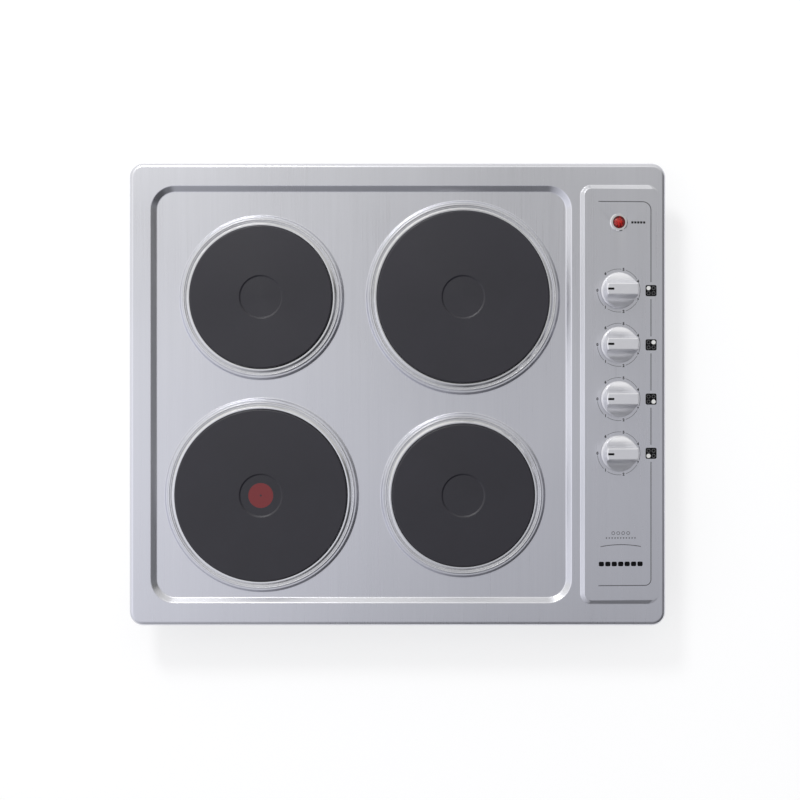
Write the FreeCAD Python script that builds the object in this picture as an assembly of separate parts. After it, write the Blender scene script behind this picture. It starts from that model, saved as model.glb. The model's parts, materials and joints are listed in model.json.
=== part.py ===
import FreeCAD, Part
import math
import os

os.makedirs("parts", exist_ok=True)

# Four-plate built-in electric hob.
# Origin: centre of the worktop seat, on the worktop's surface.
# +X to the control side, +Y to the rear, +Z up.

# ---------------------------------------------------------------- driving sizes, mm
hob_width = 580.0
hob_depth = 500.0
hob_corner = 15.0
sheet = 0.8                  # stainless top and galvanised pan
rim_height = 6.0             # flat rim above the worktop
rim_roll = 5.0               # radius of the rolled edge
lip_gap = 0.5                # rolled edge stays this far above the worktop

well_depth = 4.5             # cooking well below the rim
well_slope = 5.3             # plan width of its sloping wall
well_corner = 25.5
well_bend = 4.0
well_left = 23.8             # from the hob's left edge
well_ends = 25.0             # from the front and rear edges
control_strip = 92.6         # from the raised panel's left foot to the hob's right edge
land = 9.6                   # flat rim between well and panel

panel_rise = 3.5             # panel above the rim at its left side, fading out to the right
panel_slope = 3.9            # plan width of its left wall
panel_ends = 24.1            # from the front and rear edges
panel_fade = 8.0             # from where the panel meets the rim to the hob's right edge
panel_corner = 11.5
panel_excess = 1.3           # walls drawn this much too high before the sloping surface cuts them

overlap = 10.0               # rim over the worktop, beyond the cut-out
cutout_gap = 4.0             # pan to cut-out
pan_depth = 40.0
pan_corner = 12.0
bracket_sheet = 1.2
bracket_width = 28.0
bracket_flange = 7.0
bracket_drop = 21.0
pan_screw_z = -8.0           # screws through the pan's front and rear walls
pan_screw = 1.95
pan_screw_length = 7.0
pan_head = 3.6
pan_head_height = 2.2
pan_slot = 1.0               # width of the screw slot
pan_slot_depth = 0.9

small_plate = 76.6           # radii
large_plate = 92.5
plate_rise = 10.5            # plate top above the well floor
plate_disc = 7.0
plate_flange = 9.0           # height of the plate's outer side
plate_edge = 1.0             # chamfer round the plate's top
skirt_inset = 3.0            # skirt inside the flange
plate_skirt = 6.0
groove_depth = 1.2           # crimp groove for the spill ring
groove_height = 0.9
groove_drop = 0.1            # its floor below the collar
skirt_depth = 9.0            # skirt and hub below the flange
plate_inset_left = 119.2     # plate centres from the well's edges
plate_inset_right = 117.0
plate_inset_rear = 120.1
plate_inset_front = 116.3
recess_radius = 23.5         # dished middle of each plate
recess_depth = 0.8
hub_radius = 12.0
stud_radius = 3.0
stud_clear = 0.3             # radial, through the bridge
cover_clear = 0.5            # radial, through the cover
cover_inset = 4.0            # cover's edge inside the plate's flange

ring_sheet = 0.6             # stainless spill ring
ring_reach = 8.6             # its rolled edge beyond the plate
ring_upstand = 3.9           # its inner edge above the collar
ring_trough = 1.9            # its valley above the collar
ring_bead = 2.7              # its outer bead above the collar
ring_grip = 0.9              # crimped edge into the groove, and upstand outside the plate
ring_low = 0.6               # crimped edge above the collar
ring_steps = [2.2, 3.4, 5.6, 6.6, 7.6]     # crest, valley and bead corners beyond the plate
seal_inner = 4.0             # fibre seal beyond the plate
seal_outer = 5.4
collar_hole = 3.2            # hole edge beyond the plate
collar_top = 10.5            # end of the collar's flat beyond the plate
collar_foot = 12.5
collar_rise = 3.0
collar_bend = 1.0

coil_radius = 2.5
coil_first = 26.0
coil_pitch = 15.0
coil_clear = 1.0             # coil to the plate's underside
coil_lead = 1.0
cover_sheet = 0.6
bridge_sheet = 2.0
bridge_width = 24.0
bridge_drop = 11.2           # bridge bar below the well floor's underside
bridge_clear = 1.5           # bridge leg beyond the collar's foot
foot_length = 10.0
stud_length = 14.0           # below the plate's hub
nut_height = 5.0
nut_flats = 10.0
washer_radius = 8.0
washer_height = 1.0
terminal_width = 14.0
terminal_height = 10.0
terminal_margin = 6.0
terminal_hole = 1.8
terminal_hole_depth = 4.0
limiter_radius = 9.0
limiter_height = 10.0
limiter_tab = 2.0
limiter_tab_length = 12.0
limiter_tab_height = 4.0

knob_inset = 41.1            # knob centres from the panel's left foot
first_knob = 113.9           # rearmost knob from the panel's rear foot
knob_pitch = 58.5
skirt_radius = 19.5
skirt_height = 1.8
knob_radius = 18.3
knob_taper = 0.8
knob_height = 20.7
knob_gap = 0.8               # knob above the panel
knob_wall = 2.2
grip_width = 13.0
cheek_radius = 15.5
grip_lip = 0.5               # straight top of the cheeks
grip_fillet = 1.6
knob_room = 3.6              # hollow under the knob
knob_hub = 6.0
hub_lift = 0.6
clip_sheet = 0.5
clip_low = 0.8               # clip above the knob's base
clip_height = 2.6
clip_split = 2.0
shaft_radius = 3.0
shaft_flat = 1.0
shaft_fit = 0.05             # radial, in the switch
shaft_depth = 11.7           # below the panel's surface
shaft_top = 16.0
flat_start = 4.0             # foot of the shaft's flat
shaft_clear = 1.0            # radial, through the panel
end_gap = 0.3
switch_size = 42.0
switch_corner = 3.0
switch_height = 24.0
switch_plate = 1.2
plate_inset = 2.0            # frame plate inside the switch's sides
plate_reach = 1.0            # frame plate past the switch's ends
screw_offset = 11.0          # switch screws either side of the shaft
screw_radius = 2.0
screw_head = 3.2
screw_head_height = 1.8
screw_length = 8.0
screw_slot = 0.8
screw_round = 0.7
screw_clear = 0.2

lamp_inset = 40.4            # from the panel's rear foot
bezel_radius = 9.6
bezel_rise = 1.6
lens_radius = 6.15
lens_dome = 2.2
lamp_barrel = 6.9
lamp_depth = 28.0
barrel_depth = 10.0
bezel_edge = 0.6
bezel_bevel = 1.0
lens_depth = 6.0
tab_length = 6.0
tab_width = 6.0
tab_sheet = 0.8
tab_spread = 3.0

clamp_width = 18.0
clamp_length = 50.0
clamp_sheet = 2.0
clamp_gap = 0.3
clamp_fit = 0.1              # radial, round its screw
clamp_screw = 2.5
clamp_head = 4.5
clamp_head_height = 3.5
clamp_head_round = 1.0
clamp_slot = 1.4
clamp_nut_height = 4.0
clamp_nut_flats = 9.0
clamp_edge = 14.0            # pivot from the pan's front or rear side
clamp_side = 30.0            # pivot from the pan's left or right side

box_gap = 1.0                # terminal box to the pan's rear wall
box_width = 70.0             # terminal box
box_depth = 60.0
box_height = 24.0
box_wall = 2.0
box_floor = 20.0             # fixed floor strip that the mains cable passes
cable_radius = 7.0
lid_sheet = 1.6
lid_gap = 0.5
lid_lap = 2.0                # lid over the fixed floor strip
rib_pitch = 14.0             # ribs across the lid
rib_sheet = 1.2
rib_height = 0.8
pin_radius = 1.0
pin_fit = 0.05
knuckle = 2.1
ear_radius = 2.6
ear_length = 3.0
block_poles = 5
block_pitch = 9.0
block_depth = 16.0
block_height = 14.0
block_gap = 8.0              # terminal block to the box's front wall
block_hole = 2.4
block_hole_depth = 6.0
block_slit = 1.6
block_slit_depth = 3.0
clamp_screw_radius = 2.3     # brass screws of the terminal block
clamp_screw_slot = 0.8
clamp_screw_sink = 1.5
saddle_length = 32.0         # cable clamp
saddle_width = 10.0
saddle_height = 9.0
saddle_sheet = 3.0
pillar_radius = 3.0
pillar_offset = 12.5
cable_squeeze = 1.0
arch_height = 5.0

wire_radius = 2.8
thin_wire = 1.5
wire_bend = 8.0
thin_bend = 4.0
lead_gap = 1.0               # end of a lead to its terminal
loop_drop = 9.0              # thin leads hang this far below the switches
lane_lift = 3.7              # lower bundles above the pan's floor
lane_pitch = 6.0             # upper bundles above the lower ones
lane_inset = 14.0            # bundles to the right of the well
lead_inset = 12.0            # plate bundles to the left of the shafts
mains_inset = 8.0            # mains bundle to the right of the shafts
link_inset = 10.0            # links to the right of the shafts
lamp_inset_x = 4.0           # lamp pair to the left of the shafts
lead_margin = 5.0            # leads inside the switches' ends

# ---------------------------------------------------------------- sizes that follow
right = hob_width / 2
rear = hob_depth / 2
rim_under = rim_height - sheet
floor_top = rim_height - well_depth
floor_under = floor_top - sheet
well_x0 = -right + well_left
panel_x0 = right - control_strip
well_x1 = panel_x0 - land
well_y = rear - well_ends
panel_y = rear - panel_ends
panel_x1 = right - panel_fade
panel_crest = panel_x0 + panel_slope
panel_tilt = math.atan(panel_rise / (panel_x1 - panel_crest))
well_angle = math.atan(well_depth / well_slope)
panel_angle = math.atan(panel_rise / panel_slope)
lead_angle = -45.0           # from each plate's centre to its terminals, square to the bridge

plate_top = floor_top + plate_rise
flange_bottom = plate_top - plate_flange
hub_bottom = flange_bottom - skirt_depth
cover_bottom = hub_bottom - cover_sheet
collar_z = floor_top + collar_rise
bar_top = floor_under - bridge_drop
bar_bottom = bar_top - bridge_sheet
pan_x = right - overlap - cutout_gap
pan_y = rear - overlap - cutout_gap
pan_floor = -pan_depth + sheet

left_column = well_x0 + plate_inset_left
right_column = well_x1 - plate_inset_right
rear_row = well_y - plate_inset_rear
front_row = -well_y + plate_inset_front
plates = {
    "rear_left": (left_column, rear_row, small_plate),
    "rear_right": (right_column, rear_row, large_plate),
    "front_left": (left_column, front_row, large_plate),
    "front_right": (right_column, front_row, small_plate),
}
knob_x = panel_x0 + knob_inset
knob_order = ["rear_left", "rear_right", "front_right", "front_left"]
knobs = {}
for place, name in enumerate(knob_order):
    knobs[name] = panel_y - first_knob - place * knob_pitch
lamp_y = panel_y - lamp_inset


# ---------------------------------------------------------------- helpers
def vec(x, y, z):
    return FreeCAD.Vector(x, y, z)


def block(x0, x1, y0, y1, z0, z1):
    """Box between two corners."""
    return Part.makeBox(x1 - x0, y1 - y0, z1 - z0, vec(x0, y0, z0))


def disc(radius, z0, z1, x=0.0, y=0.0):
    """Upright cylinder."""
    return Part.makeCylinder(radius, z1 - z0, vec(x, y, z0))


def washer(inner, outer, z0, z1, x=0.0, y=0.0):
    """Upright ring."""
    return disc(outer, z0, z1, x, y).cut(disc(inner, z0, z1, x, y))


def outline(x0, x1, y0, y1, radius, z):
    """Flat rectangle wire with rounded corners."""
    corners = [(x1 - radius, y0 + radius, -90), (x1 - radius, y1 - radius, 0),
               (x0 + radius, y1 - radius, 90), (x0 + radius, y0 + radius, 180)]
    arcs = []
    for cx, cy, start in corners:
        circle = Part.Circle(vec(cx, cy, z), vec(0, 0, 1), radius)
        arcs.append(Part.Arc(circle, math.radians(start), math.radians(start + 90)).toShape())
    edges = []
    for here, after in zip(arcs, arcs[1:] + arcs[:1]):
        edges.append(here)
        edges.append(Part.makeLine(here.Vertexes[-1].Point, after.Vertexes[0].Point))
    return Part.Wire(edges)


def slab(x0, x1, y0, y1, radius, z0, z1):
    """Upright plate with rounded corners."""
    face = Part.Face(outline(x0, x1, y0, y1, radius, z0))
    return face.extrude(vec(0, 0, z1 - z0))


def spun(points):
    """Solid of revolution about Z from a closed outline of (radius, height) points."""
    corners = [vec(r, 0, z) for r, z in points]
    face = Part.Face(Part.makePolygon(corners + corners[:1]))
    return face.revolve(vec(0, 0, 0), vec(0, 0, 1), 360)


def strip(path, thickness):
    """Closed outline of a bent sheet: the path is one side, the other lies to its right."""
    points = [vec(u, v, 0) for u, v in path]
    runs = [(after - here).normalize() for here, after in zip(points, points[1:])]
    far = []
    for point, into, out in zip(points, runs[:1] + runs, runs + runs[-1:]):
        aside = (into + out).normalize().cross(vec(0, 0, 1))
        reach = thickness / aside.dot(into.cross(vec(0, 0, 1)))
        corner = point + aside * reach
        far.append((corner.x, corner.y))
    return path + far[::-1]


def edges_at(shape, z, x0, x1, y0, y1):
    """Edges that lie flat at one height within a rectangle."""
    found = []
    for edge in shape.Edges:
        box = edge.BoundBox
        level = abs(box.ZMin - z) < 1e-4 and abs(box.ZMax - z) < 1e-4
        within = box.XMin > x0 and box.XMax < x1 and box.YMin > y0 and box.YMax < y1
        if level and within:
            found.append(edge)
    return found


def moved(shape, x, y, z=0.0, turn=0.0):
    """Copy turned about Z by degrees, then moved."""
    placed = shape.copy()
    placed.rotate(vec(0, 0, 0), vec(0, 0, 1), turn)
    placed.translate(vec(x, y, z))
    return placed


def on_panel(shape, y, x=None):
    """Copy moved from the panel's own frame, whose z = 0 is the sloping surface, to its place."""
    x = knob_x if x is None else x
    height = rim_height + (panel_x1 - x) * math.tan(panel_tilt)
    placed = shape.copy()
    placed.rotate(vec(0, 0, 0), vec(0, 1, 0), math.degrees(panel_tilt))
    placed.translate(vec(x, y, height))
    return placed


def hexagon(flats, z0, z1):
    """Upright hexagonal prism."""
    reach = flats / 2 / math.cos(math.pi / 6)
    corners = []
    for i in range(7):
        corners.append(vec(reach * math.cos(i * math.pi / 3), reach * math.sin(i * math.pi / 3), z0))
    return Part.Face(Part.makePolygon(corners)).extrude(vec(0, 0, z1 - z0))


def wire(points, radius, bend):
    """Insulated lead: straight runs joined by tangent arcs, tighter where a run is short."""
    points = [vec(*p) for p in points]
    edges = []
    start = points[0]
    for before, corner, after in zip(points, points[1:], points[2:]):
        room = 0.45 * min((corner - before).Length, (after - corner).Length)
        into = (corner - before).normalize()
        out = (after - corner).normalize()
        slope = math.tan(into.getAngle(out) / 2)
        setback = min(bend * slope, room)
        first = corner - into * setback
        last = corner + out * setback
        arc = setback / slope
        middle = corner + (out - into).normalize() * (math.hypot(arc, setback) - arc)
        edges.append(Part.makeLine(start, first))
        edges.append(Part.Arc(first, middle, last).toShape())
        start = last
    edges.append(Part.makeLine(start, points[-1]))
    path = Part.Wire(edges)
    along = (points[1] - points[0]).normalize()
    section = Part.Wire(Part.makeCircle(radius, points[0], along))
    return path.makePipeShell([section], True, True)


def save(name, *solids):
    """Write one node. Several solids stay separate pieces in it."""
    shape = solids[0] if len(solids) == 1 else Part.makeCompound(list(solids))
    shape.exportStep("parts/" + name + ".step")


def save_each(name, maker):
    """One node for each plate position."""
    for place in plates:
        save(name + "_" + place, maker(place))


# ---------------------------------------------------------------- pressed top
def skin(drop):
    """Everything under the top's surface, or under its other face when drop is the sheet's thickness."""
    top = rim_height - drop
    body = slab(-right + drop, right - drop, -rear + drop, rear - drop, hob_corner - drop, -sheet, top)
    border = edges_at(body, top, -hob_width, hob_width, -hob_depth, hob_depth)
    body = body.makeFillet(rim_roll - drop, border)

    grow = drop * math.tan(well_angle / 2)
    x0 = well_x0 - grow
    x1 = well_x1 + grow
    y1 = well_y + grow
    corner = well_corner + grow
    bed_z = top - well_depth
    mouth = outline(x0, x1, -y1, y1, corner, top)
    bed_y = y1 - well_slope
    bed = outline(x0 + well_slope, x1 - well_slope, -bed_y, bed_y, corner - well_slope, bed_z)
    body = body.cut(Part.makeLoft([bed, mouth], True, True))
    body = body.makeFillet(well_bend - drop, edges_at(body, top, x0 - 1, x1 + 1, -y1 - 1, y1 + 1))
    body = body.makeFillet(well_bend + drop, edges_at(body, bed_z, x0, x1, -y1, y1))

    for x, y, radius in plates.values():
        foot = radius + collar_foot - drop / 2
        crest = radius + collar_top - drop / 2
        low = floor_top - drop
        high = collar_z - drop
        mound = spun([(0, low - sheet), (foot, low - sheet), (foot, low), (crest, high), (0, high)])
        body = body.fuse(moved(mound, x, y))
        reach = foot + 1
        bends = edges_at(body, high, x - reach, x + reach, y - reach, y + reach)
        bends += edges_at(body, low, x - reach, x + reach, y - reach, y + reach)
        body = body.makeFillet(collar_bend, bends)
        body = body.cut(disc(radius + collar_hole, -pan_depth, plate_top, x, y))

    grow = drop * math.tan(panel_angle / 2)
    x0 = panel_x0 + grow
    y1 = panel_y - grow
    corner = panel_corner - grow
    base = outline(x0, right, -y1, y1, corner, top)
    inset = panel_slope * panel_excess
    crown_y = y1 - inset
    crown_z = top + panel_rise * panel_excess
    crown = outline(x0 + inset, right - inset, -crown_y, crown_y, corner - inset, crown_z)
    wedge = Part.makeLoft([base, crown], True, True)
    above = block(-hob_width, hob_width, -rear, rear, 0, hob_corner)
    above.rotate(vec(0, 0, 0), vec(0, 1, 0), math.degrees(panel_tilt))
    above.translate(vec(panel_x1, 0, top))
    return body.fuse(wedge.cut(above)).removeSplitter()


def panel_holes():
    """Openings through the panel for shafts, switch screws and the lamp."""
    holes = []
    for y in knobs.values():
        cutters = [disc(shaft_radius + shaft_clear, -shaft_depth, shaft_depth)]
        for side in (-1, 1):
            hole = disc(screw_radius + screw_clear, -shaft_depth, shaft_depth, 0, side * screw_offset)
            cutters.append(hole)
        for cutter in cutters:
            holes.append(on_panel(cutter, y))
    holes.append(on_panel(disc(lamp_barrel + screw_clear, -shaft_depth, shaft_depth), lamp_y))
    return Part.makeCompound(holes)


def hob_top():
    """Stainless top: rolled rim, sunk cooking well, collars round the plate holes, raised control panel."""
    shell = skin(0).cut(skin(sheet))
    shell = shell.cut(block(-right - 1, right + 1, -rear - 1, rear + 1, -pan_depth, lip_gap))
    return shell.cut(panel_holes())


save("hob_top", hob_top())


# ---------------------------------------------------------------- seat and bottom pan
def frame_ring(outer_x, outer_y, radius, width, z0, z1):
    """Upright rectangular ring with rounded corners."""
    outside = slab(-outer_x, outer_x, -outer_y, outer_y, radius, z0, z1)
    hole_x = outer_x - width
    hole_y = outer_y - width
    return outside.cut(slab(-hole_x, hole_x, -hole_y, hole_y, radius - width, z0, z1))


gasket_inset = rim_roll + end_gap
gasket_width = overlap - gasket_inset - end_gap
gasket_corner = hob_corner - gasket_inset
gasket_x = right - gasket_inset
gasket_y = rear - gasket_inset
save("worktop_gasket", frame_ring(gasket_x, gasket_y, gasket_corner, gasket_width, 0, rim_under))

clamp_x = pan_x - clamp_side
clamp_y = pan_y - clamp_edge
clamp_spots = {"rear_left": (-1, 1), "rear_right": (1, 1), "front_left": (-1, -1), "front_right": (1, -1)}
bracket_spots = [-hob_width / 3, 0.0, hob_width / 3]
box_x = (left_column + right_column) / 2 + box_width / 2
box_y1 = pan_y - sheet - box_gap
box_y0 = box_y1 - box_depth


def across(radius, y0, y1, x, z):
    """Cylinder along Y."""
    return Part.makeCylinder(radius, y1 - y0, vec(x, y0, z), vec(0, 1, 0))


def along(radius, x0, x1, y, z):
    """Cylinder along X."""
    return Part.makeCylinder(radius, x1 - x0, vec(x0, y, z), vec(1, 0, 0))


def bottom_pan():
    """Galvanised tray under the hob, open at the top."""
    inner_x = pan_x - sheet
    inner_y = pan_y - sheet
    tray = slab(-pan_x, pan_x, -pan_y, pan_y, pan_corner, -pan_depth, rim_under)
    tray = tray.cut(slab(-inner_x, inner_x, -inner_y, inner_y, pan_corner - sheet, pan_floor, rim_under))
    tray = tray.cut(block(box_x - box_width, box_x, box_y0, box_y1, -pan_depth, pan_floor))
    for x in bracket_spots:
        tray = tray.cut(across(pan_screw + screw_clear, -rear, rear, x, pan_screw_z))
    for sx, sy in clamp_spots.values():
        tray = tray.cut(disc(clamp_screw + screw_clear, -pan_depth, pan_floor, sx * clamp_x, sy * clamp_y))
    return tray


def fixing_bracket(x):
    """Angle welded under the rim, inside the pan's rear wall."""
    wall = pan_y - sheet
    x0 = x - bracket_width / 2
    x1 = x + bracket_width / 2
    flange = block(x0, x1, wall - bracket_flange, wall, rim_under - bracket_sheet, rim_under)
    leg = block(x0, x1, wall - bracket_sheet, wall, rim_under - bracket_drop, rim_under)
    return flange.fuse(leg).cut(across(pan_screw, 0, rear, x, pan_screw_z))


def pan_screw_solid(x):
    """Self-tapping screw through the pan's rear wall."""
    crown = pan_y + pan_head_height
    head = across(pan_head, pan_y, crown, x, pan_screw_z)
    outer = [edge for edge in head.Edges if edge.BoundBox.YMin > crown - 1e-3]
    head = head.makeFillet(screw_round, outer)
    slot_z = pan_screw_z - pan_slot / 2
    slot = block(x - pan_head, x + pan_head, crown - pan_slot_depth, crown, slot_z, slot_z + pan_slot)
    return head.fuse(across(pan_screw, pan_y - pan_screw_length, pan_y, x, pan_screw_z)).cut(slot)


def both_ends(maker):
    """The rear row of a fixing and the same row turned to the front."""
    rear_row_solids = [maker(x) for x in bracket_spots]
    front_row_solids = [moved(solid, 0, 0, 0, 180) for solid in rear_row_solids]
    return rear_row_solids + front_row_solids


save("bottom_pan", bottom_pan())
save("fixing_brackets", *both_ends(fixing_bracket))
save("pan_screws", *both_ends(pan_screw_solid))


# ---------------------------------------------------------------- hotplates
def coil_radii(radius):
    """Radii of the heating coils that fit between hub and skirt."""
    free = radius - skirt_inset - plate_skirt - coil_first - coil_radius
    return [coil_first + i * coil_pitch for i in range(int(free / coil_pitch) + 1)]


def hotplate(place):
    """Cast iron plate: dished middle, crimp groove for the spill ring, skirt and hub."""
    x, y, radius = plates[place]
    under = plate_top - plate_disc
    skirt = radius - skirt_inset
    groove = collar_z - groove_drop
    crest = groove + groove_height
    dish = plate_top - recess_depth
    profile = [
        (0, dish), (recess_radius - recess_depth, dish), (recess_radius, plate_top),
        (radius - plate_edge, plate_top), (radius, plate_top - plate_edge),
        (radius, crest), (radius - groove_depth, crest), (radius - groove_depth, groove), (radius, groove),
        (radius, flange_bottom), (skirt, flange_bottom), (skirt, hub_bottom),
        (skirt - plate_skirt, hub_bottom), (skirt - plate_skirt, under), (hub_radius, under),
        (hub_radius, hub_bottom), (stud_radius, hub_bottom), (stud_radius, flange_bottom),
        (0, flange_bottom),
    ]
    return moved(spun(profile), x, y)


def spill_ring(place):
    """Stainless ring crimped into the plate's groove and resting over the collar."""
    x, y, radius = plates[place]
    low = collar_z + ring_low
    high = collar_z + ring_upstand
    trough = collar_z + ring_trough
    bead = collar_z + ring_bead
    inner = radius + ring_grip
    outer = radius + ring_reach
    path = [(radius - ring_grip, low), (inner, low), (inner, high)]
    for step, height in zip(ring_steps, [high, trough, trough, bead, bead]):
        path.append((radius + step, height))
    path += [(outer, trough), (outer, collar_z + end_gap)]
    return moved(spun(strip(path, ring_sheet)), x, y)


def plate_seal(place):
    """Ceramic-fibre ring between collar and spill ring."""
    x, y, radius = plates[place]
    top = collar_z + ring_trough - ring_sheet
    return washer(radius + seal_inner, radius + seal_outer, collar_z, top, x, y)


def heater(place):
    """Concentric heating coils with leads down to the terminals."""
    x, y, radius = plates[place]
    height = plate_top - plate_disc - coil_radius - coil_clear
    coils = []
    for r in coil_radii(radius):
        coil = Part.makeTorus(r, coil_radius, vec(0, 0, height))
        lead = disc(coil_lead, cover_bottom, height, r, 0)
        coils.append(moved(coil.fuse(lead), x, y, 0, lead_angle))
    return Part.makeCompound(coils)


def terminal_span(radius):
    """Inner and outer reach of a plate's terminal block."""
    radii = coil_radii(radius)
    return radii[0] - terminal_margin, radii[-1] + terminal_margin


def plate_cover(place):
    """Sheet closing the plate's underside, with a hole for the hub's stud and a slot for the leads."""
    x, y, radius = plates[place]
    near, far = terminal_span(radius)
    sheet_disc = washer(stud_radius + cover_clear, radius - cover_inset, cover_bottom, hub_bottom)
    half = terminal_width / 4
    slot = block(near + terminal_hole, far - terminal_hole, -half, half, cover_bottom, hub_bottom)
    return moved(sheet_disc.cut(slot), x, y, 0, lead_angle)


def plate_terminal(place):
    """Ceramic terminal block under the cover."""
    x, y, radius = plates[place]
    near, far = terminal_span(radius)
    half = terminal_width / 2
    body = block(near, far, -half, half, cover_bottom - terminal_height, cover_bottom)
    for r in coil_radii(radius):
        body = body.cut(disc(terminal_hole, cover_bottom - terminal_hole_depth, cover_bottom, r, 0))
    return moved(body, x, y, 0, lead_angle)


def plate_bridge(place):
    """Spring-steel bridge that pulls the plate down and bears up under the well floor."""
    x, y, radius = plates[place]
    leg = radius + collar_foot + bridge_clear
    tip = leg + foot_length
    path = [(-tip, floor_under), (-leg, floor_under), (-leg, bar_top)]
    path += [(leg, bar_top), (leg, floor_under), (tip, floor_under)]
    corners = [vec(u, -bridge_width / 2, v) for u, v in strip(path, bridge_sheet)]
    face = Part.Face(Part.makePolygon(corners + corners[:1]))
    bar = face.extrude(vec(0, bridge_width, 0))
    hole = disc(stud_radius + stud_clear, bar_bottom, bar_top)
    return moved(bar.cut(hole), x, y, 0, lead_angle + 90)


def plate_stud(place):
    """Stud screwed into the plate's hub."""
    x, y, radius = plates[place]
    return disc(stud_radius, hub_bottom - stud_length, flange_bottom, x, y)


def plate_nut(place):
    """Nut with a captive washer below the bridge."""
    x, y, radius = plates[place]
    base = bar_bottom - washer_height
    nut = hexagon(nut_flats, base - nut_height, base).fuse(disc(washer_radius, base, bar_bottom))
    return moved(nut.cut(disc(stud_radius, base - nut_height, bar_bottom)), x, y)


def thermal_limiter():
    """Over-temperature limiter clipped under the cover of the rapid plate."""
    x, y, radius = plates["front_left"]
    reach = coil_first + coil_pitch
    base = cover_bottom - limiter_height
    can = disc(limiter_radius, base, cover_bottom, -reach, 0)
    x0 = -reach - limiter_tab / 2
    half = limiter_tab_length / 2
    tabs = block(x0, x0 + limiter_tab, -half, half, base - limiter_tab_height, base)
    return moved(can.fuse(tabs), x, y, 0, lead_angle)


save_each("hotplate", hotplate)
save_each("spill_ring", spill_ring)
save_each("heater", heater)
save_each("plate_bridge", plate_bridge)
save("plate_seals", *[plate_seal(place) for place in plates])
save("plate_covers", *[plate_cover(place) for place in plates])
save("plate_terminals", *[plate_terminal(place) for place in plates])
save("plate_studs", *[plate_stud(place) for place in plates])
save("plate_nuts", *[plate_nut(place) for place in plates])
save("thermal_limiter", thermal_limiter())


# ---------------------------------------------------------------- controls
switch_top = -sheet - switch_plate
switch_bottom = switch_top - switch_height


def switch():
    """Seven-position energy switch hung under the panel by its frame plate."""
    half = switch_size / 2
    plate_x = half - plate_inset
    plate_y = half + plate_reach
    frame_plate = block(-plate_x, plate_x, -plate_y, plate_y, switch_top, -sheet)
    body = slab(-half, half, -half, half, switch_corner, switch_bottom, switch_top)
    whole = body.fuse(frame_plate)
    whole = whole.cut(disc(shaft_radius + shaft_fit, -shaft_depth - end_gap, 0))
    for side in (-1, 1):
        whole = whole.cut(disc(screw_radius, -screw_length, 0, 0, side * screw_offset))
    return whole


def switch_screw(side):
    """Pan-head screw through the panel, hidden under the knob."""
    head = disc(screw_head, 0, screw_head_height)
    reach = 2 * screw_head
    head = head.makeFillet(screw_round, edges_at(head, screw_head_height, -reach, reach, -reach, reach))
    low = screw_head_height - screw_slot
    slot = block(-screw_head, screw_head, -screw_slot / 2, screw_slot / 2, low, screw_head_height)
    screw = head.fuse(disc(screw_radius, -screw_length, 0)).cut(slot)
    return moved(screw, 0, side * screw_offset)


def shaft():
    """Round spindle with a flat where the knob grips it."""
    rod = disc(shaft_radius, -shaft_depth, shaft_top)
    y0 = shaft_radius - shaft_flat
    flat = block(-shaft_radius, shaft_radius, y0, shaft_radius, flat_start, shaft_top)
    return rod.cut(flat)


def knob():
    """Moulded knob: skirt, tapered drum, grip bar left between two scooped cheeks."""
    base = knob_gap
    top = base + knob_height
    tip = knob_radius - knob_taper
    edge = skirt_radius - knob_radius
    shoulder = base + skirt_height
    drum = spun([
        (0, base), (skirt_radius, base), (skirt_radius, shoulder - edge / 2),
        (skirt_radius - edge / 3, shoulder - edge / 6), (knob_radius, shoulder), (tip, top), (0, top),
    ])
    reach = 2 * knob_radius
    half = grip_width / 2
    scoop = along(cheek_radius, -reach, reach, half + cheek_radius, top - grip_lip)
    clear = block(-reach, reach, half, half + cheek_radius, top - grip_lip, top + grip_lip)
    cheek = scoop.fuse(clear)
    drum = drum.cut(cheek).cut(moved(cheek, 0, 0, 0, 180))
    drum = drum.makeFillet(grip_fillet, edges_at(drum, top, -reach, reach, -reach, reach))
    room = disc(knob_radius - knob_wall, base, base + knob_room)
    slot_x = tip - 1.5 * knob_wall
    slot_y = half - knob_wall
    slot = block(-slot_x, slot_x, -slot_y, slot_y, base, top - knob_wall)
    hub = disc(knob_hub, base + hub_lift, top - knob_wall)
    return drum.cut(room.fuse(slot).cut(hub)).cut(shaft())


def knob_clip():
    """Split spring ring that tightens the knob's hub on the spindle."""
    low = knob_gap + clip_low
    high = low + clip_height
    outer = knob_hub + clip_sheet
    ring = washer(knob_hub, outer, low, high)
    return ring.cut(block(-clip_split / 2, clip_split / 2, -outer, 0, low, high))


for place, y in knobs.items():
    save("switch_" + place, on_panel(switch(), y))
    save("switch_shaft_" + place, on_panel(shaft(), y))
    save("knob_" + place, on_panel(knob(), y))
    save("knob_clip_" + place, on_panel(knob_clip(), y))
save("switch_screws", *[on_panel(switch_screw(side), y) for y in knobs.values() for side in (-1, 1)])


def lamp_bezel():
    """Bright flanged ring whose barrel passes through the panel."""
    return spun([
        (lens_radius, -barrel_depth), (lamp_barrel, -barrel_depth), (lamp_barrel, 0), (bezel_radius, 0),
        (bezel_radius, bezel_edge), (bezel_radius - bezel_bevel, bezel_rise),
        (lens_radius + bezel_edge, bezel_rise), (lens_radius, bezel_edge),
    ])


def lamp_lens():
    """Domed lens in the bezel."""
    ball = (lens_radius ** 2 + lens_dome ** 2) / (2 * lens_dome)
    dome = Part.makeSphere(ball, vec(0, 0, lens_dome - ball)).common(disc(lens_radius, 0, lens_dome))
    return disc(lens_radius, -lens_depth, 0).fuse(dome).removeSplitter()


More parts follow.
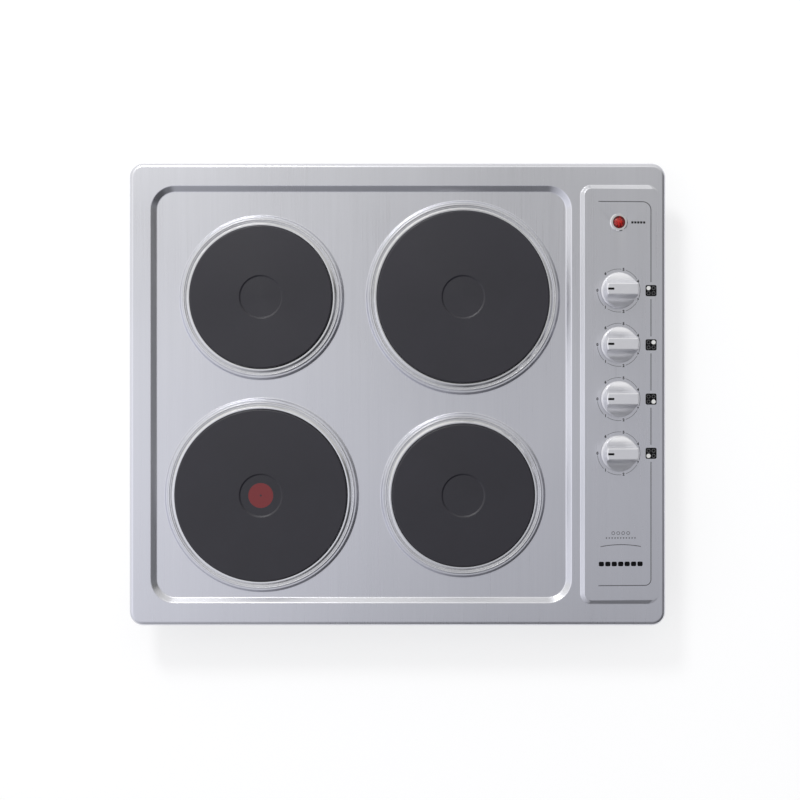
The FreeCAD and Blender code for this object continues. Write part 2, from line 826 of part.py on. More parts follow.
def lamp_body():
    """Lamp holder with two flat tabs."""
    base = tab_length - lamp_depth
    body = disc(lamp_barrel, base, -barrel_depth)
    for side in (-1, 1):
        y0 = side * tab_spread - tab_sheet / 2
        body = body.fuse(block(-tab_width / 2, tab_width / 2, y0, y0 + tab_sheet, -lamp_depth, base))
    return body


save("lamp_bezel", on_panel(lamp_bezel(), lamp_y))
save("lamp_lens", on_panel(lamp_lens(), lamp_y))
save("lamp_body", on_panel(lamp_body(), lamp_y))

# ---------------------------------------------------------------- worktop clamps
clamp_top = -pan_depth - clamp_gap
clamp_bottom = clamp_top - clamp_sheet
head_top = clamp_bottom - clamp_gap
nut_top = pan_floor + clamp_nut_height


def worktop_clamp(place):
    """Flat steel dog that swings out under the worktop. Retracted, it lies along X to the middle."""
    sx, sy = clamp_spots[place]
    half = clamp_width / 2
    dog = slab(-half, clamp_length - half, -half, half, half - 0.5, clamp_bottom, clamp_top)
    dog = dog.cut(disc(clamp_screw + clamp_fit, clamp_bottom, clamp_top))
    return moved(dog, sx * clamp_x, sy * clamp_y, 0, 180 if sx > 0 else 0)


def clamp_screw_solid(place):
    """Screw on which the clamp turns."""
    sx, sy = clamp_spots[place]
    low = head_top - clamp_head_height
    head = disc(clamp_head, low, head_top)
    reach = 2 * clamp_head
    head = head.makeFillet(clamp_head_round, edges_at(head, low, -reach, reach, -reach, reach))
    slot = block(-clamp_head, clamp_head, -clamp_slot / 2, clamp_slot / 2, low, low + clamp_slot)
    screw = head.fuse(disc(clamp_screw, head_top, nut_top + 1)).cut(slot)
    return moved(screw, sx * clamp_x, sy * clamp_y)


def clamp_nut(place):
    """Nut welded inside the pan."""
    sx, sy = clamp_spots[place]
    nut = hexagon(clamp_nut_flats, pan_floor, nut_top).cut(disc(clamp_screw, pan_floor, nut_top))
    return moved(nut, sx * clamp_x, sy * clamp_y)


save_each("worktop_clamp", worktop_clamp)
save("clamp_screws", *[clamp_screw_solid(place) for place in clamp_spots])
save("clamp_nuts", *[clamp_nut(place) for place in clamp_spots])

# ---------------------------------------------------------------- mains connection
box_x0 = box_x - box_width
box_top = -pan_depth + box_height
hinge_y = box_y0 + ear_radius + 0.4
hinge_z = -pan_depth - lid_gap - knuckle
cable_x = box_x0 + box_width / 2
cable_y = box_y1 - box_wall - box_floor / 2
strip_y = box_y1 - box_wall
block_y0 = box_y0 + box_wall + block_gap
block_length = block_poles * block_pitch
block_x0 = cable_x - block_length / 2
block_bottom = box_top - box_wall - block_height
mains_y = block_y0 + block_depth / 2
mains_z = block_bottom + wire_radius


def terminal_box():
    """Plastic box set in the pan, open below except for the strip that the mains cable passes."""
    shell = block(box_x0, box_x, box_y0, box_y1, -pan_depth, box_top)
    room_x0 = box_x0 + box_wall
    room_x1 = box_x - box_wall
    room = block(room_x0, room_x1, box_y0 + box_wall, strip_y, -pan_depth, box_top - box_wall)
    strip_floor = block(box_x0, box_x, strip_y - box_floor, strip_y, -pan_depth, -pan_depth + box_wall)
    shell = shell.cut(room).fuse(strip_floor)
    shell = shell.cut(disc(cable_radius, -pan_depth, -pan_depth + box_wall, cable_x, cable_y))
    for x in (box_x0, box_x - ear_length):
        stem = block(x, x + ear_length, hinge_y - ear_radius, hinge_y + ear_radius, hinge_z, -pan_depth + 1)
        ear = stem.fuse(along(ear_radius, x, x + ear_length, hinge_y, hinge_z))
        shell = shell.fuse(ear).cut(along(pin_radius, x, x + ear_length, hinge_y, hinge_z))
    exit_hole = along(wire_radius, box_x - box_wall, box_x, mains_y, mains_z)
    return shell.cut(exit_hole).removeSplitter()


def terminal_lid():
    """Lid that swings down on its pin."""
    inner = ear_length + end_gap
    neck = ear_radius + 0.9
    edge = strip_y - box_floor - end_gap
    top = hinge_z + knuckle
    neck_plate = block(box_x0 + inner, box_x - inner, hinge_y, hinge_y + neck, top - lid_sheet, top)
    plate_y0 = hinge_y + neck
    lid_low = top - lid_sheet
    plate = block(box_x0 + lid_gap, box_x - lid_gap, plate_y0, edge + lid_lap, lid_low, top)
    barrel = along(knuckle, box_x0 + inner, box_x - inner, hinge_y, hinge_z)
    lid = neck_plate.fuse(plate).fuse(barrel)
    for offset in (-rib_pitch, 0, rib_pitch):
        x0 = box_x0 + box_width / 2 + offset - rib_sheet / 2
        rib = block(x0, x0 + rib_sheet, plate_y0 + ear_length, edge, lid_low - rib_height, lid_low)
        lid = lid.fuse(rib)
    return lid.cut(along(pin_radius + pin_fit, box_x0, box_x, hinge_y, hinge_z)).removeSplitter()


def terminal_block():
    """Moulded strip of terminals."""
    x1 = block_x0 + block_length
    y1 = block_y0 + block_depth
    body = block(block_x0, x1, block_y0, y1, block_bottom, box_top - box_wall)
    for i in range(block_poles):
        x = block_x0 + (i + 0.5) * block_pitch
        body = body.cut(disc(block_hole, block_bottom, block_bottom + block_hole_depth, x, mains_y))
    slit_top = block_bottom + block_slit_depth
    for i in range(1, block_poles):
        x0 = block_x0 + i * block_pitch - block_slit / 2
        body = body.cut(block(x0, x0 + block_slit, block_y0, y1, block_bottom, slit_top))
    return body


def terminal_screw(pole):
    """Brass clamping screw of one terminal."""
    x = block_x0 + (pole + 0.5) * block_pitch
    low = block_bottom + clamp_screw_sink
    half = clamp_screw_slot / 2
    screw = disc(clamp_screw_radius, low, block_bottom + block_hole_depth, x, mains_y)
    reach = 2 * clamp_screw_radius
    slot = block(x - reach, x + reach, mains_y - half, mains_y + half, low, low + clamp_screw_slot)
    return screw.cut(slot)


def cable_clamp():
    """Saddle that holds the mains cable inside the box, with its two pillars."""
    base = -pan_depth + box_wall
    low = base + saddle_height
    half = saddle_length / 2
    y0 = cable_y - saddle_width / 2
    saddle = block(cable_x - half, cable_x + half, y0, y0 + saddle_width, low, low + saddle_sheet)
    for side in (-1, 1):
        saddle = saddle.fuse(disc(pillar_radius, base, low, cable_x + side * pillar_offset, cable_y))
    arch = across(cable_radius - cable_squeeze, y0, y0 + saddle_width, cable_x, base + arch_height)
    return saddle.cut(arch)


save("terminal_box", terminal_box())
save("terminal_lid", terminal_lid())
save("lid_pin", along(pin_radius, box_x0, box_x, hinge_y, hinge_z))
save("terminal_block", terminal_block())
save("terminal_screws", *[terminal_screw(pole) for pole in range(block_poles)])
save("cable_clamp", cable_clamp())

# ---------------------------------------------------------------- wiring
lower_lane = pan_floor + lane_lift
upper_lane = lower_lane + lane_pitch
lane_x = well_x1 + lane_inset
switch_floor = rim_height + (panel_x1 - knob_x) * math.tan(panel_tilt) + switch_bottom
lead_end = switch_floor - lead_gap
first_switch = knobs[knob_order[0]]


def plate_lead(place, level, lane):
    """Bundle from a plate's terminals to the underside of its switch."""
    x, y, radius = plates[place]
    near, far = terminal_span(radius)
    reach = (near + far) / 2
    start_x = x + reach * math.cos(math.radians(lead_angle))
    start_y = y + reach * math.sin(math.radians(lead_angle))
    end_x = knob_x - lead_inset
    end_y = knobs[place]
    points = [
        (start_x, start_y, cover_bottom - terminal_height), (start_x, start_y, level),
        (lane, start_y, level), (lane, end_y, level), (end_x, end_y, level), (end_x, end_y, lead_end),
    ]
    return wire(points, wire_radius, wire_bend)


def link(first, second):
    """Loop of thin wire from one switch to the next."""
    low = switch_floor - loop_drop
    y0 = knobs[first] - switch_size / 2 + lead_margin
    y1 = knobs[second] + switch_size / 2 - lead_margin
    x = knob_x + link_inset
    return wire([(x, y0, lead_end), (x, y0, low), (x, y1, low), (x, y1, lead_end)], thin_wire, thin_bend)


def mains_lead():
    """Bundle from the terminal block to the first switch."""
    start_x = block_x0 + block_length
    x = knob_x + mains_inset
    y = first_switch + switch_size / 2 - lead_margin - wire_radius
    points = [(start_x, mains_y, mains_z), (x, mains_y, mains_z), (x, y, mains_z), (x, y, lead_end)]
    return wire(points, wire_radius, wire_bend)


def lamp_lead():
    """Pair from the lamp to the first switch."""
    low = switch_floor - loop_drop
    x = knob_x - lamp_inset_x
    y = first_switch + switch_size / 2 - lead_margin
    top = switch_floor - switch_bottom - lamp_depth - lead_gap
    points = [(x, lamp_y, top), (x, lamp_y, low), (x, y, low), (x, y, lead_end)]
    return wire(points, thin_wire, thin_bend)


leads = [
    plate_lead("rear_left", lower_lane, lane_x), plate_lead("rear_right", upper_lane, lane_x),
    plate_lead("front_right", upper_lane, lane_x), plate_lead("front_left", lower_lane, lane_x + 7.0),
    mains_lead(), lamp_lead(),
]
for first, second in zip(knob_order, knob_order[1:]):
    leads.append(link(first, second))
save("wiring", *leads)
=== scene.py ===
import json
import math

import bmesh
import bpy
from mathutils import Matrix, Vector


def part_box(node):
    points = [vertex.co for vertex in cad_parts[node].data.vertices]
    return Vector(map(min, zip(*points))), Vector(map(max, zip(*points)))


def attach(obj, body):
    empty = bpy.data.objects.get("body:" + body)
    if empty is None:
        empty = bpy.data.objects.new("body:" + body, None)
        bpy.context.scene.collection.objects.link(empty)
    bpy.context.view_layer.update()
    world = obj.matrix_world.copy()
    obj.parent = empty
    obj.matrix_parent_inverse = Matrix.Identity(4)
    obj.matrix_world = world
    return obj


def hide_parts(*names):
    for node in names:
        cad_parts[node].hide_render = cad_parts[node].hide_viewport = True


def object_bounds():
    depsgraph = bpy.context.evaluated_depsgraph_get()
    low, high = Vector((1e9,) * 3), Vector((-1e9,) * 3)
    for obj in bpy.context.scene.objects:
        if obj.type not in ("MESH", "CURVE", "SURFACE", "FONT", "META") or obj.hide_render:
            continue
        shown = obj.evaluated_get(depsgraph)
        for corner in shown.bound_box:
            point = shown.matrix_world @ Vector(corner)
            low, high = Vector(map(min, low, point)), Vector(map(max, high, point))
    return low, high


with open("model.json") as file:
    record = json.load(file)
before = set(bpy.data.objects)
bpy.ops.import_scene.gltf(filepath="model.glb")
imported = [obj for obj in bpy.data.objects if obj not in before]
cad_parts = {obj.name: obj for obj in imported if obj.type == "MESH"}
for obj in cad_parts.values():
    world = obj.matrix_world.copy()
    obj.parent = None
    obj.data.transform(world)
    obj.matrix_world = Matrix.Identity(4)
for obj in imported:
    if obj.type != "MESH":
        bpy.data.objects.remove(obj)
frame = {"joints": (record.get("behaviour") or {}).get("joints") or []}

cad_low, cad_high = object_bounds()
MM = 0.001


# ==== Studio =====================================================================
# The hob lies on a pale, lit bench under a soft white tent, bright to the left and the back and dim
# to the right and the front. One large lamp at the back left gives the soft shading, a second in its
# place gives only the glints. It is seen from straight above.

VIEW_HEIGHT = 1306 * MM
VIEW_OFFSET = (2.7 * MM, -6.0 * MM)
VIEW_LENS = 54.2
TENT_LEFT_TO_RIGHT = [(-1, 1.35), (-0.7, 1.40), (-0.22, 0.97), (0, 0.675), (0.13, 0.44), (0.25, 0.76),
                      (0.33, 0.58), (0.7, 0.26), (1, 0.36)]
TENT_FRONT_TO_BACK = [(-1, -0.34), (-0.7, -0.42), (-0.35, -0.22), (-0.19, -0.18), (-0.12, 0.06), (0, 0),
                      (0.1, -0.06), (0.19, -0.23), (0.33, 0.12), (0.5, 0.62), (0.7, 0.60), (1, 0.38)]
TENT_LOW = 0.64
TENT_DARKEST = 0.10
TENT_BRIGHTEST = 1.30
TENT_BLUE = 1.075
TENT_GREEN = 1.012
TENT_WARMER = 0.8
TENT_WARMEST = 0.1
GREEN_SHARE = 0.12
BACKDROP = (0.93, 0.935, 0.945, 1)
BENCH_SIZE = 9.0
BENCH_COLOUR = (0.32, 0.32, 0.32, 1)
BENCH_LIGHT = (0.70, 0.70, 0.705, 1)
LAMP_PLACE = (-0.95, 2.0, 1.8)
LAMP_SIZE = 0.6
LAMP_POWER = 40
GLINT_POWER = 20


class Value:
    """A shader socket that can be added, subtracted, multiplied and divided like a number."""

    def __init__(self, finish, socket):
        self.finish = finish
        self.socket = socket

    def join(self, operation, first, second):
        return self.finish.node("ShaderNodeMath", {"operation": operation}, {0: first, 1: second})

    def __add__(self, other):
        return self.join("ADD", self, other)

    def __sub__(self, other):
        return self.join("SUBTRACT", self, other)

    def __rsub__(self, other):
        return self.join("SUBTRACT", other, self)

    def __mul__(self, other):
        return self.join("MULTIPLY", self, other)

    def __truediv__(self, other):
        return self.join("DIVIDE", self, other)

    def __rtruediv__(self, other):
        return self.join("DIVIDE", other, self)

    __radd__ = __add__
    __rmul__ = __mul__


class NodeBoard:
    """A node tree that is wired up by values."""

    def __init__(self, tree):
        self.tree = tree
        self.tree.nodes.clear()

    def node(self, kind, settings=None, sockets=None, output=0):
        made = self.tree.nodes.new(kind)
        for name, setting in (settings or {}).items():
            if name == "stops":
                stops = made.color_ramp.elements
                while len(stops) < len(setting):
                    stops.new(0.5)
                for stop, (position, colour) in zip(stops, setting):
                    stop.position = position
                    stop.color = colour
            else:
                setattr(made, name, setting)
        for key, value in (sockets or {}).items():
            self.feed(made.inputs[key], value)
        return Value(self, made.outputs[output])

    def feed(self, socket, value):
        if isinstance(value, Value):
            self.tree.links.new(value.socket, socket)
        else:
            socket.default_value = value

    def mix(self, factor, first, second):
        """Colour mixed from two colours."""
        return self.node("ShaderNodeMix", {"data_type": "RGBA"}, {0: factor, 6: first, 7: second}, 2)

    def split(self, vector):
        """The three parts of a vector."""
        first = self.node("ShaderNodeSeparateXYZ", None, {0: vector})
        return [Value(self, part) for part in first.socket.node.outputs]


class Finish(NodeBoard):
    """A material made of one principled surface and what varies over it."""

    def __init__(self, name, constants):
        self.material = bpy.data.materials.new(name)
        self.material.use_nodes = True
        super().__init__(self.material.node_tree)
        self.surface = self.tree.nodes.new("ShaderNodeBsdfPrincipled")
        out = self.tree.nodes.new("ShaderNodeOutputMaterial")
        self.tree.links.new(self.surface.outputs[0], out.inputs[0])
        self.coat_with(constants)

    def coat_with(self, sockets):
        for key, value in sockets.items():
            self.feed(self.surface.inputs[key], value)

    def place(self, centre=(0, 0, 0), turn=(0, 0, 0), scale=(1, 1, 1)):
        """Object coordinates moved to a centre, then turned and scaled."""
        here = self.node("ShaderNodeTexCoord", output=3)
        centred = self.node("ShaderNodeVectorMath", {"operation": "SUBTRACT"}, {0: here, 1: centre})
        return self.node("ShaderNodeMapping", None,
                         {"Vector": centred, "Rotation": turn, "Scale": scale})

    def noise(self, where, scale, detail=3.0, roughness=0.5):
        return self.node("ShaderNodeTexNoise", None,
                         {"Vector": where, "Scale": scale, "Detail": detail, "Roughness": roughness})

    def bump(self, height, distance, strength=1.0):
        relief = self.node("ShaderNodeBump", None,
                           {"Strength": strength, "Distance": distance, "Height": height})
        self.coat_with({"Normal": relief})


tent = bpy.data.worlds.new("soft_tent")
bpy.context.scene.world = tent
tent.use_nodes = True
sky = NodeBoard(tent.node_tree)
to_right, to_back, to_top = sky.split(sky.node("ShaderNodeTexCoord"))


def across_tent(direction, brightness):
    """Brightness that changes along one direction, from (direction, brightness) pairs."""
    stops = [((where + 1) / 2, (value / 2 + 0.5,) * 3 + (1,)) for where, value in brightness]
    curve = sky.node("ShaderNodeValToRGB", {"stops": stops}, {0: direction * 0.5 + 0.5})
    return curve * 2 - 1


level = across_tent(to_right, TENT_LEFT_TO_RIGHT) + across_tent(to_back, TENT_FRONT_TO_BACK)
level = level.join("MINIMUM", level.join("MAXIMUM", level, TENT_DARKEST), TENT_BRIGHTEST)
level = level * (to_top * (1 - TENT_LOW) + TENT_LOW)
warmer = level.join("MINIMUM", level.join("MAXIMUM", to_back, 0.0) * TENT_WARMER, TENT_WARMEST)
green = level * (TENT_GREEN - warmer * GREEN_SHARE)
shade = sky.node("ShaderNodeCombineColor", None, {0: level, 1: green, 2: level * (TENT_BLUE - warmer)})
seen_by_camera = sky.node("ShaderNodeLightPath")
backing = sky.mix(seen_by_camera, shade, BACKDROP)
glow = sky.node("ShaderNodeBackground", None, {"Color": backing, "Strength": 1.0})
world_out = sky.tree.nodes.new("ShaderNodeOutputWorld")
sky.tree.links.new(glow.socket, world_out.inputs[0])
bpy.context.scene.view_settings.view_transform = "Standard"

lamps = (("back_left_lamp", LAMP_POWER, False), ("back_left_glint", GLINT_POWER, True))
for name, power, is_glint in lamps:
    lamp_data = bpy.data.lights.new(name, "AREA")
    lamp_data.shape = "DISK"
    lamp_data.size = LAMP_SIZE
    lamp_data.energy = power
    lamp = bpy.data.objects.new(name, lamp_data)
    lamp.location = LAMP_PLACE
    lamp.rotation_euler = (-Vector(LAMP_PLACE)).to_track_quat("-Z", "Y").to_euler()
    lamp.visible_glossy = is_glint
    lamp.visible_diffuse = not is_glint
    bpy.context.collection.objects.link(lamp)

camera_data = bpy.data.cameras.new("overhead")
camera_data.lens = VIEW_LENS
camera = bpy.data.objects.new("overhead", camera_data)
camera.location = (VIEW_OFFSET[0], VIEW_OFFSET[1], VIEW_HEIGHT)
bpy.context.collection.objects.link(camera)
bpy.context.scene.camera = camera


def add_object(name, bm, materials=(), smooth=True):
    """Object from a finished bmesh, standing at the origin."""
    mesh = bpy.data.meshes.new(name)
    bm.to_mesh(mesh)
    bm.free()
    for face in mesh.polygons:
        face.use_smooth = smooth
    for material in materials:
        mesh.materials.append(material)
    made = bpy.data.objects.new(name, mesh)
    bpy.context.collection.objects.link(made)
    return made


bench_finish = Finish("bench_card", {"Base Color": BENCH_COLOUR, "Roughness": 0.9,
                                     "Emission Color": BENCH_LIGHT, "Emission Strength": 1.0})
bench_grain = bench_finish.noise(bench_finish.place(), 900.0)
bench_finish.bump(bench_grain, 0.00002)
bench_bm = bmesh.new()
bmesh.ops.create_grid(bench_bm, x_segments=2, y_segments=2, size=BENCH_SIZE)
bmesh.ops.translate(bench_bm, vec=(0, 0, cad_low.z), verts=bench_bm.verts)
bench = add_object("bench", bench_bm, [bench_finish.material])


# ==== Hob top ====================================================================
# One sheet of brushed stainless steel, deep drawn: the rim is rolled down all round, the cooking
# well is sunk into it, a collar is raised round each plate hole, and the control panel is a wedge
# that stands up on its left and fades into the rim on its right.

SHEET = 0.8 * MM
RIM_ROLL = 5.0 * MM
RIM_CORNER = 15.0 * MM
LIP = 0.5 * MM
WELL_DEPTH = 4.5 * MM
WELL_SLOPE = 5.3 * MM
WELL_CORNER = 25.5 * MM
WELL_BEND = 2.2 * MM
WELL_LEFT = 23.8 * MM
WELL_ENDS = 25.0 * MM
CONTROL_STRIP = 92.6 * MM
LAND = 9.6 * MM
PANEL_RISE = 3.5 * MM
PANEL_SLOPE = 3.9 * MM
PANEL_BEND = 1.4 * MM
PANEL_ENDS = 24.1 * MM
PANEL_FADE = 8.0 * MM
PANEL_CORNER = 11.5 * MM
COLLAR_HOLE = 3.2 * MM
COLLAR_TOP = 10.5 * MM
COLLAR_FOOT = 12.5 * MM
COLLAR_RISE = 3.0 * MM
COLLAR_BEND = 1.0 * MM
SHAFT_HOLE = 4.0 * MM
LAMP_HOLE = 7.1 * MM
BEND_STEPS = 7
STEEL_COLOUR = (0.695, 0.698, 0.742, 1)
STEEL_ROUGHNESS = 0.30

places = ["rear_left", "rear_right", "front_left", "front_right"]
top_low, top_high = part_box("hob_top")
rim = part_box("worktop_gasket")[1].z + SHEET
well_floor = rim - WELL_DEPTH
well_x0 = top_low.x + WELL_LEFT
well_x1 = top_high.x - CONTROL_STRIP - LAND
well_y = top_high.y - WELL_ENDS
panel_x0 = top_high.x - CONTROL_STRIP
panel_x1 = top_high.x - PANEL_FADE
panel_y = top_high.y - PANEL_ENDS
panel_fall = PANEL_RISE / (panel_x1 - panel_x0 - PANEL_SLOPE)
plate_spots = {}
for place in places:
    plate_low, plate_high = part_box("hotplate_" + place)
    centre = (plate_low + plate_high) / 2
    plate_spots[place] = (centre.x, centre.y, (plate_high.x - plate_low.x) / 2)
knob_joints = {}
for joint in frame["joints"]:
    if joint["name"].startswith("turn_"):
        knob_joints[joint["name"][5:]] = joint
lamp_spot = (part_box("lamp_bezel")[0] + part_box("lamp_bezel")[1]) / 2


def panel_height(x):
    """Height of the panel's sloping surface."""
    return rim + (panel_x1 - x) * panel_fall


def on_panel(x, y):
    """Matrix from the panel's own frame, with its surface at z = 0, to the hob."""
    return Matrix.Translation((x, y, panel_height(x))) @ Matrix.Rotation(math.atan(panel_fall), 4, "Y")


def closed_loop(bm, points):
    verts = [bm.verts.new(point) for point in points]
    return [bm.edges.new(pair) for pair in zip(verts, verts[1:] + verts[:1])]


def rounded_rectangle(x0, x1, y0, y1, radius, height, steps=10):
    """Points round a rectangle with rounded corners. The height is worked out at each point."""
    corners = [(x1 - radius, y0 + radius, -90), (x1 - radius, y1 - radius, 0),
               (x0 + radius, y1 - radius, 90), (x0 + radius, y0 + radius, 180)]
    points = []
    for cx, cy, start in corners:
        for i in range(steps + 1):
            angle = math.radians(start + 90 * i / steps)
            x = cx + radius * math.cos(angle)
            y = cy + radius * math.sin(angle)
            points.append((x, y, height(x)))
    return points


def circle(x, y, radius, height, steps=160):
    points = []
    for i in range(steps):
        angle = 2 * math.pi * i / steps
        point_x = x + radius * math.cos(angle)
        points.append((point_x, y + radius * math.sin(angle), height(point_x)))
    return points


def double_bend(width, drop, bend):
    """Section of a pressed step: (run, fall) from the start of the first bend to the end of the second."""
    angle = math.atan2(drop, width)
    set_back = bend * math.tan(angle / 2)
    upper = []
    lower = []
    for i in range(BEND_STEPS + 1):
        part = angle * i / BEND_STEPS
        upper.append((bend * math.sin(part) - set_back, bend * (1 - math.cos(part))))
        lower.append((width + set_back - bend * math.sin(part), drop - bend * (1 - math.cos(part))))
    return upper + lower[::-1]


def skin(bm, outlines):
    """Joins outlines one to the next with faces and gives the first and last loop of edges."""
    loops = [closed_loop(bm, outline) for outline in outlines]
    for here, after in zip(loops, loops[1:]):
        bmesh.ops.bridge_loops(bm, edges=here + after)
    return loops[0], loops[-1]


def fill(bm, loops):
    """Flat face inside the first loop and outside the others."""
    edges = [edge for loop in loops for edge in loop]
    bmesh.ops.triangle_fill(bm, use_beauty=True, use_dissolve=False, edges=edges, normal=(0, 0, 1))


def level_at(z):
    return lambda x: z


top_bm = bmesh.new()
roll_outlines = []
for i in range(BEND_STEPS + 5):
    turn = math.pi / 2 * i / (BEND_STEPS + 4)
    inset = RIM_ROLL * (1 - math.sin(turn))
    drop = RIM_ROLL * (1 - math.cos(turn))
    roll_outlines.append(rounded_rectangle(top_low.x + inset, top_high.x - inset, top_low.y + inset,
                                           top_high.y - inset, RIM_CORNER - inset, level_at(rim - drop)))
roll_outlines.append(rounded_rectangle(top_low.x, top_high.x, top_low.y, top_high.y, RIM_CORNER,
                                       level_at(LIP)))
rim_edge = skin(top_bm, roll_outlines)[0]

well_outlines = []
for run, fall in double_bend(WELL_SLOPE, WELL_DEPTH, WELL_BEND):
    well_outlines.append(rounded_rectangle(well_x0 + run, well_x1 - run, run - well_y, well_y - run,
                                           WELL_CORNER - run, level_at(rim - fall)))
well_mouth, well_bed = skin(top_bm, well_outlines)

panel_outlines = []
for run, rise in double_bend(PANEL_SLOPE, PANEL_RISE, PANEL_BEND):
    share = rise / PANEL_RISE

    def stepped(x, share=share):
        return rim + share * max(0.0, panel_height(x) - rim)

    panel_outlines.append(rounded_rectangle(panel_x0 + run, panel_x1, run - panel_y, panel_y - run,
                                            PANEL_CORNER - run, stepped))
panel_foot, panel_crest = skin(top_bm, panel_outlines)
fill(top_bm, [rim_edge, well_mouth, panel_foot])

collar_feet = []
for x, y, radius in plate_spots.values():
    collar_outlines = []
    for run, fall in double_bend(COLLAR_FOOT - COLLAR_TOP, COLLAR_RISE, COLLAR_BEND):
        collar_outlines.append(circle(x, y, radius + COLLAR_FOOT - run, level_at(well_floor + fall)))
    collar_outlines.append(circle(x, y, radius + COLLAR_HOLE, level_at(well_floor + COLLAR_RISE)))
    collar_feet.append(skin(top_bm, collar_outlines)[0])
fill(top_bm, [well_bed] + collar_feet)

panel_openings = []
for joint in knob_joints.values():
    spot = Vector(joint["pos_m"])
    panel_openings.append(closed_loop(top_bm, circle(spot.x, spot.y, SHAFT_HOLE, panel_height, 32)))
lamp_x = Vector(knob_joints["rear_left"]["pos_m"]).x
panel_openings.append(closed_loop(top_bm, circle(lamp_x, lamp_spot.y, LAMP_HOLE, panel_height, 48)))
fill(top_bm, [panel_crest] + panel_openings)
bmesh.ops.remove_doubles(top_bm, verts=top_bm.verts, dist=0.002 * MM)
bmesh.ops.recalc_face_normals(top_bm, faces=top_bm.faces)
if sum(face.normal.z * face.calc_area() for face in top_bm.faces) < 0:
    bmesh.ops.reverse_faces(top_bm, faces=top_bm.faces)


def brushed_steel(name, colour, roughness, coarse, fine, depth):
    """Stainless steel brushed front to back: long fine scratches, uneven from belt to belt."""
    finish = Finish(name, {"Metallic": 1.0})
    streaks = finish.noise(finish.place(scale=(fine, 9, fine)), 1.0, 4.0, 0.62)
    belts = finish.noise(finish.place(scale=(coarse, 3.2, coarse)), 1.0, 2.0)
    clouds = finish.noise(finish.place(scale=(9, 6, 9)), 1.0, 2.0)
    worn = streaks * 0.40 + belts * 0.22 + clouds * 0.38
    dull = tuple(0.90 * part for part in colour[:3]) + (1,)
    bright = tuple(min(1.0, 1.10 * part) for part in colour[:3]) + (1,)
    finish.coat_with({"Base Color": finish.mix(worn, dull, bright),
                      "Roughness": (streaks - 0.5) * 0.16 + (clouds - 0.5) * 0.06 + roughness})
    finish.bump(streaks, depth)
    return finish.material


top_finish = brushed_steel("brushed_stainless", STEEL_COLOUR, STEEL_ROUGHNESS, 260, 1500, 0.006 * MM)
hob_top = add_object("pressed_hob_top", top_bm, [top_finish])
thickness = hob_top.modifiers.new("sheet", "SOLIDIFY")
thickness.thickness = SHEET
thickness.offset = -1
thickness.use_even_offset = True
facing = hob_top.modifiers.new("even_shading", "WEIGHTED_NORMAL")
facing.mode = "FACE_AREA"
facing.weight = 80
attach(hob_top, "hob")
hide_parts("hob_top")


# ==== Hotplates ==================================================================
# Each plate is one iron casting, turned flat on top in a fine spiral, with a dished middle that
# never touches the pan, then heat-blackened. The rapid plate carries a red enamel dot.

DISH_RADIUS = 23.5 * MM
DISH_DEPTH = 0.9 * MM
DISH_WALL = 1.6 * MM
PLATE_EDGE = 1.3 * MM
PLATE_FLANGE = 9.0 * MM
PLATE_DISC = 7.0 * MM
PLATE_SKIRT = 6.0 * MM
SKIRT_INSET = 3.0 * MM
SKIRT_DROP = 9.0 * MM
HUB_RADIUS = 12.0 * MM
GROOVE_DEPTH = 1.2 * MM
GROOVE_TOP = 0.8 * MM
GROOVE_FOOT = 0.1 * MM
CENTRE_NIB = 1.3 * MM
NIB_RISE = 0.3 * MM
TURNING_PITCH = 0.55 * MM
IRON_DARK = (0.0045, 0.004, 0.008, 1)
IRON_LIGHT = (0.0165, 0.0148, 0.025, 1)
DOT_RADIUS = 13.4 * MM
DOT_TOP = 0.09 * MM
DOT_FOOT = 0.01 * MM
DOT_COLOUR = (0.175, 0.019, 0.023, 1)
DOT_ROUGHNESS = 0.42
DOT_STEPS = 96
SPIN_STEPS = 180


def eased(path, steps=4):
    """Section through (radius, height, rounding) corners, each rounding drawn as an arc."""
    points = []
    for i, (u, v, rounding) in enumerate(path):
        corner = Vector((u, v))
        if rounding <= 0:
            points.append(corner)
            continue
        into = (Vector(path[i - 1][:2]) - corner).normalized()
        out = (Vector(path[(i + 1) % len(path)][:2]) - corner).normalized()
        half = into.angle(out) / 2
        middle = corner + (into + out).normalized() * rounding / math.sin(half)
        first = corner + into * rounding / math.tan(half) - middle
        last = corner + out * rounding / math.tan(half) - middle
        sweep = first.angle_signed(last)
        for k in range(steps + 1):
            turned = Matrix.Rotation(-sweep * k / steps, 2) @ first
            points.append(middle + turned)
    return points


def spun(path, closed, steps=SPIN_STEPS, ease=4):
    """Bmesh of a section spun about Z: a closed section is a ring, an open one starts and ends on Z."""
    bm = bmesh.new()
    verts = [bm.verts.new((point.x, 0, point.y)) for point in eased(path, ease)]
    edges = [bm.edges.new(pair) for pair in zip(verts, verts[1:])]
    if closed:
        edges.append(bm.edges.new((verts[-1], verts[0])))
    bmesh.ops.spin(bm, geom=verts + edges, cent=(0, 0, 0), axis=(0, 0, 1), angle=2 * math.pi,
                   steps=steps, use_merge=True)
    bmesh.ops.remove_doubles(bm, verts=bm.verts, dist=0.0005 * MM)
    bmesh.ops.recalc_face_normals(bm, faces=bm.faces)
    return bm


def add_spun(name, path, closed, place, material, steps=SPIN_STEPS, ease=4):
    """Spun piece set down by a matrix, with crisp shading at its corners."""
    bm = spun(path, closed, steps, ease)
    bmesh.ops.transform(bm, matrix=place, verts=bm.verts)
    piece = add_object(name, bm, [material])
    even = piece.modifiers.new("even_shading", "WEIGHTED_NORMAL")
    even.mode = "FACE_AREA"
    even.weight = 60
    return piece


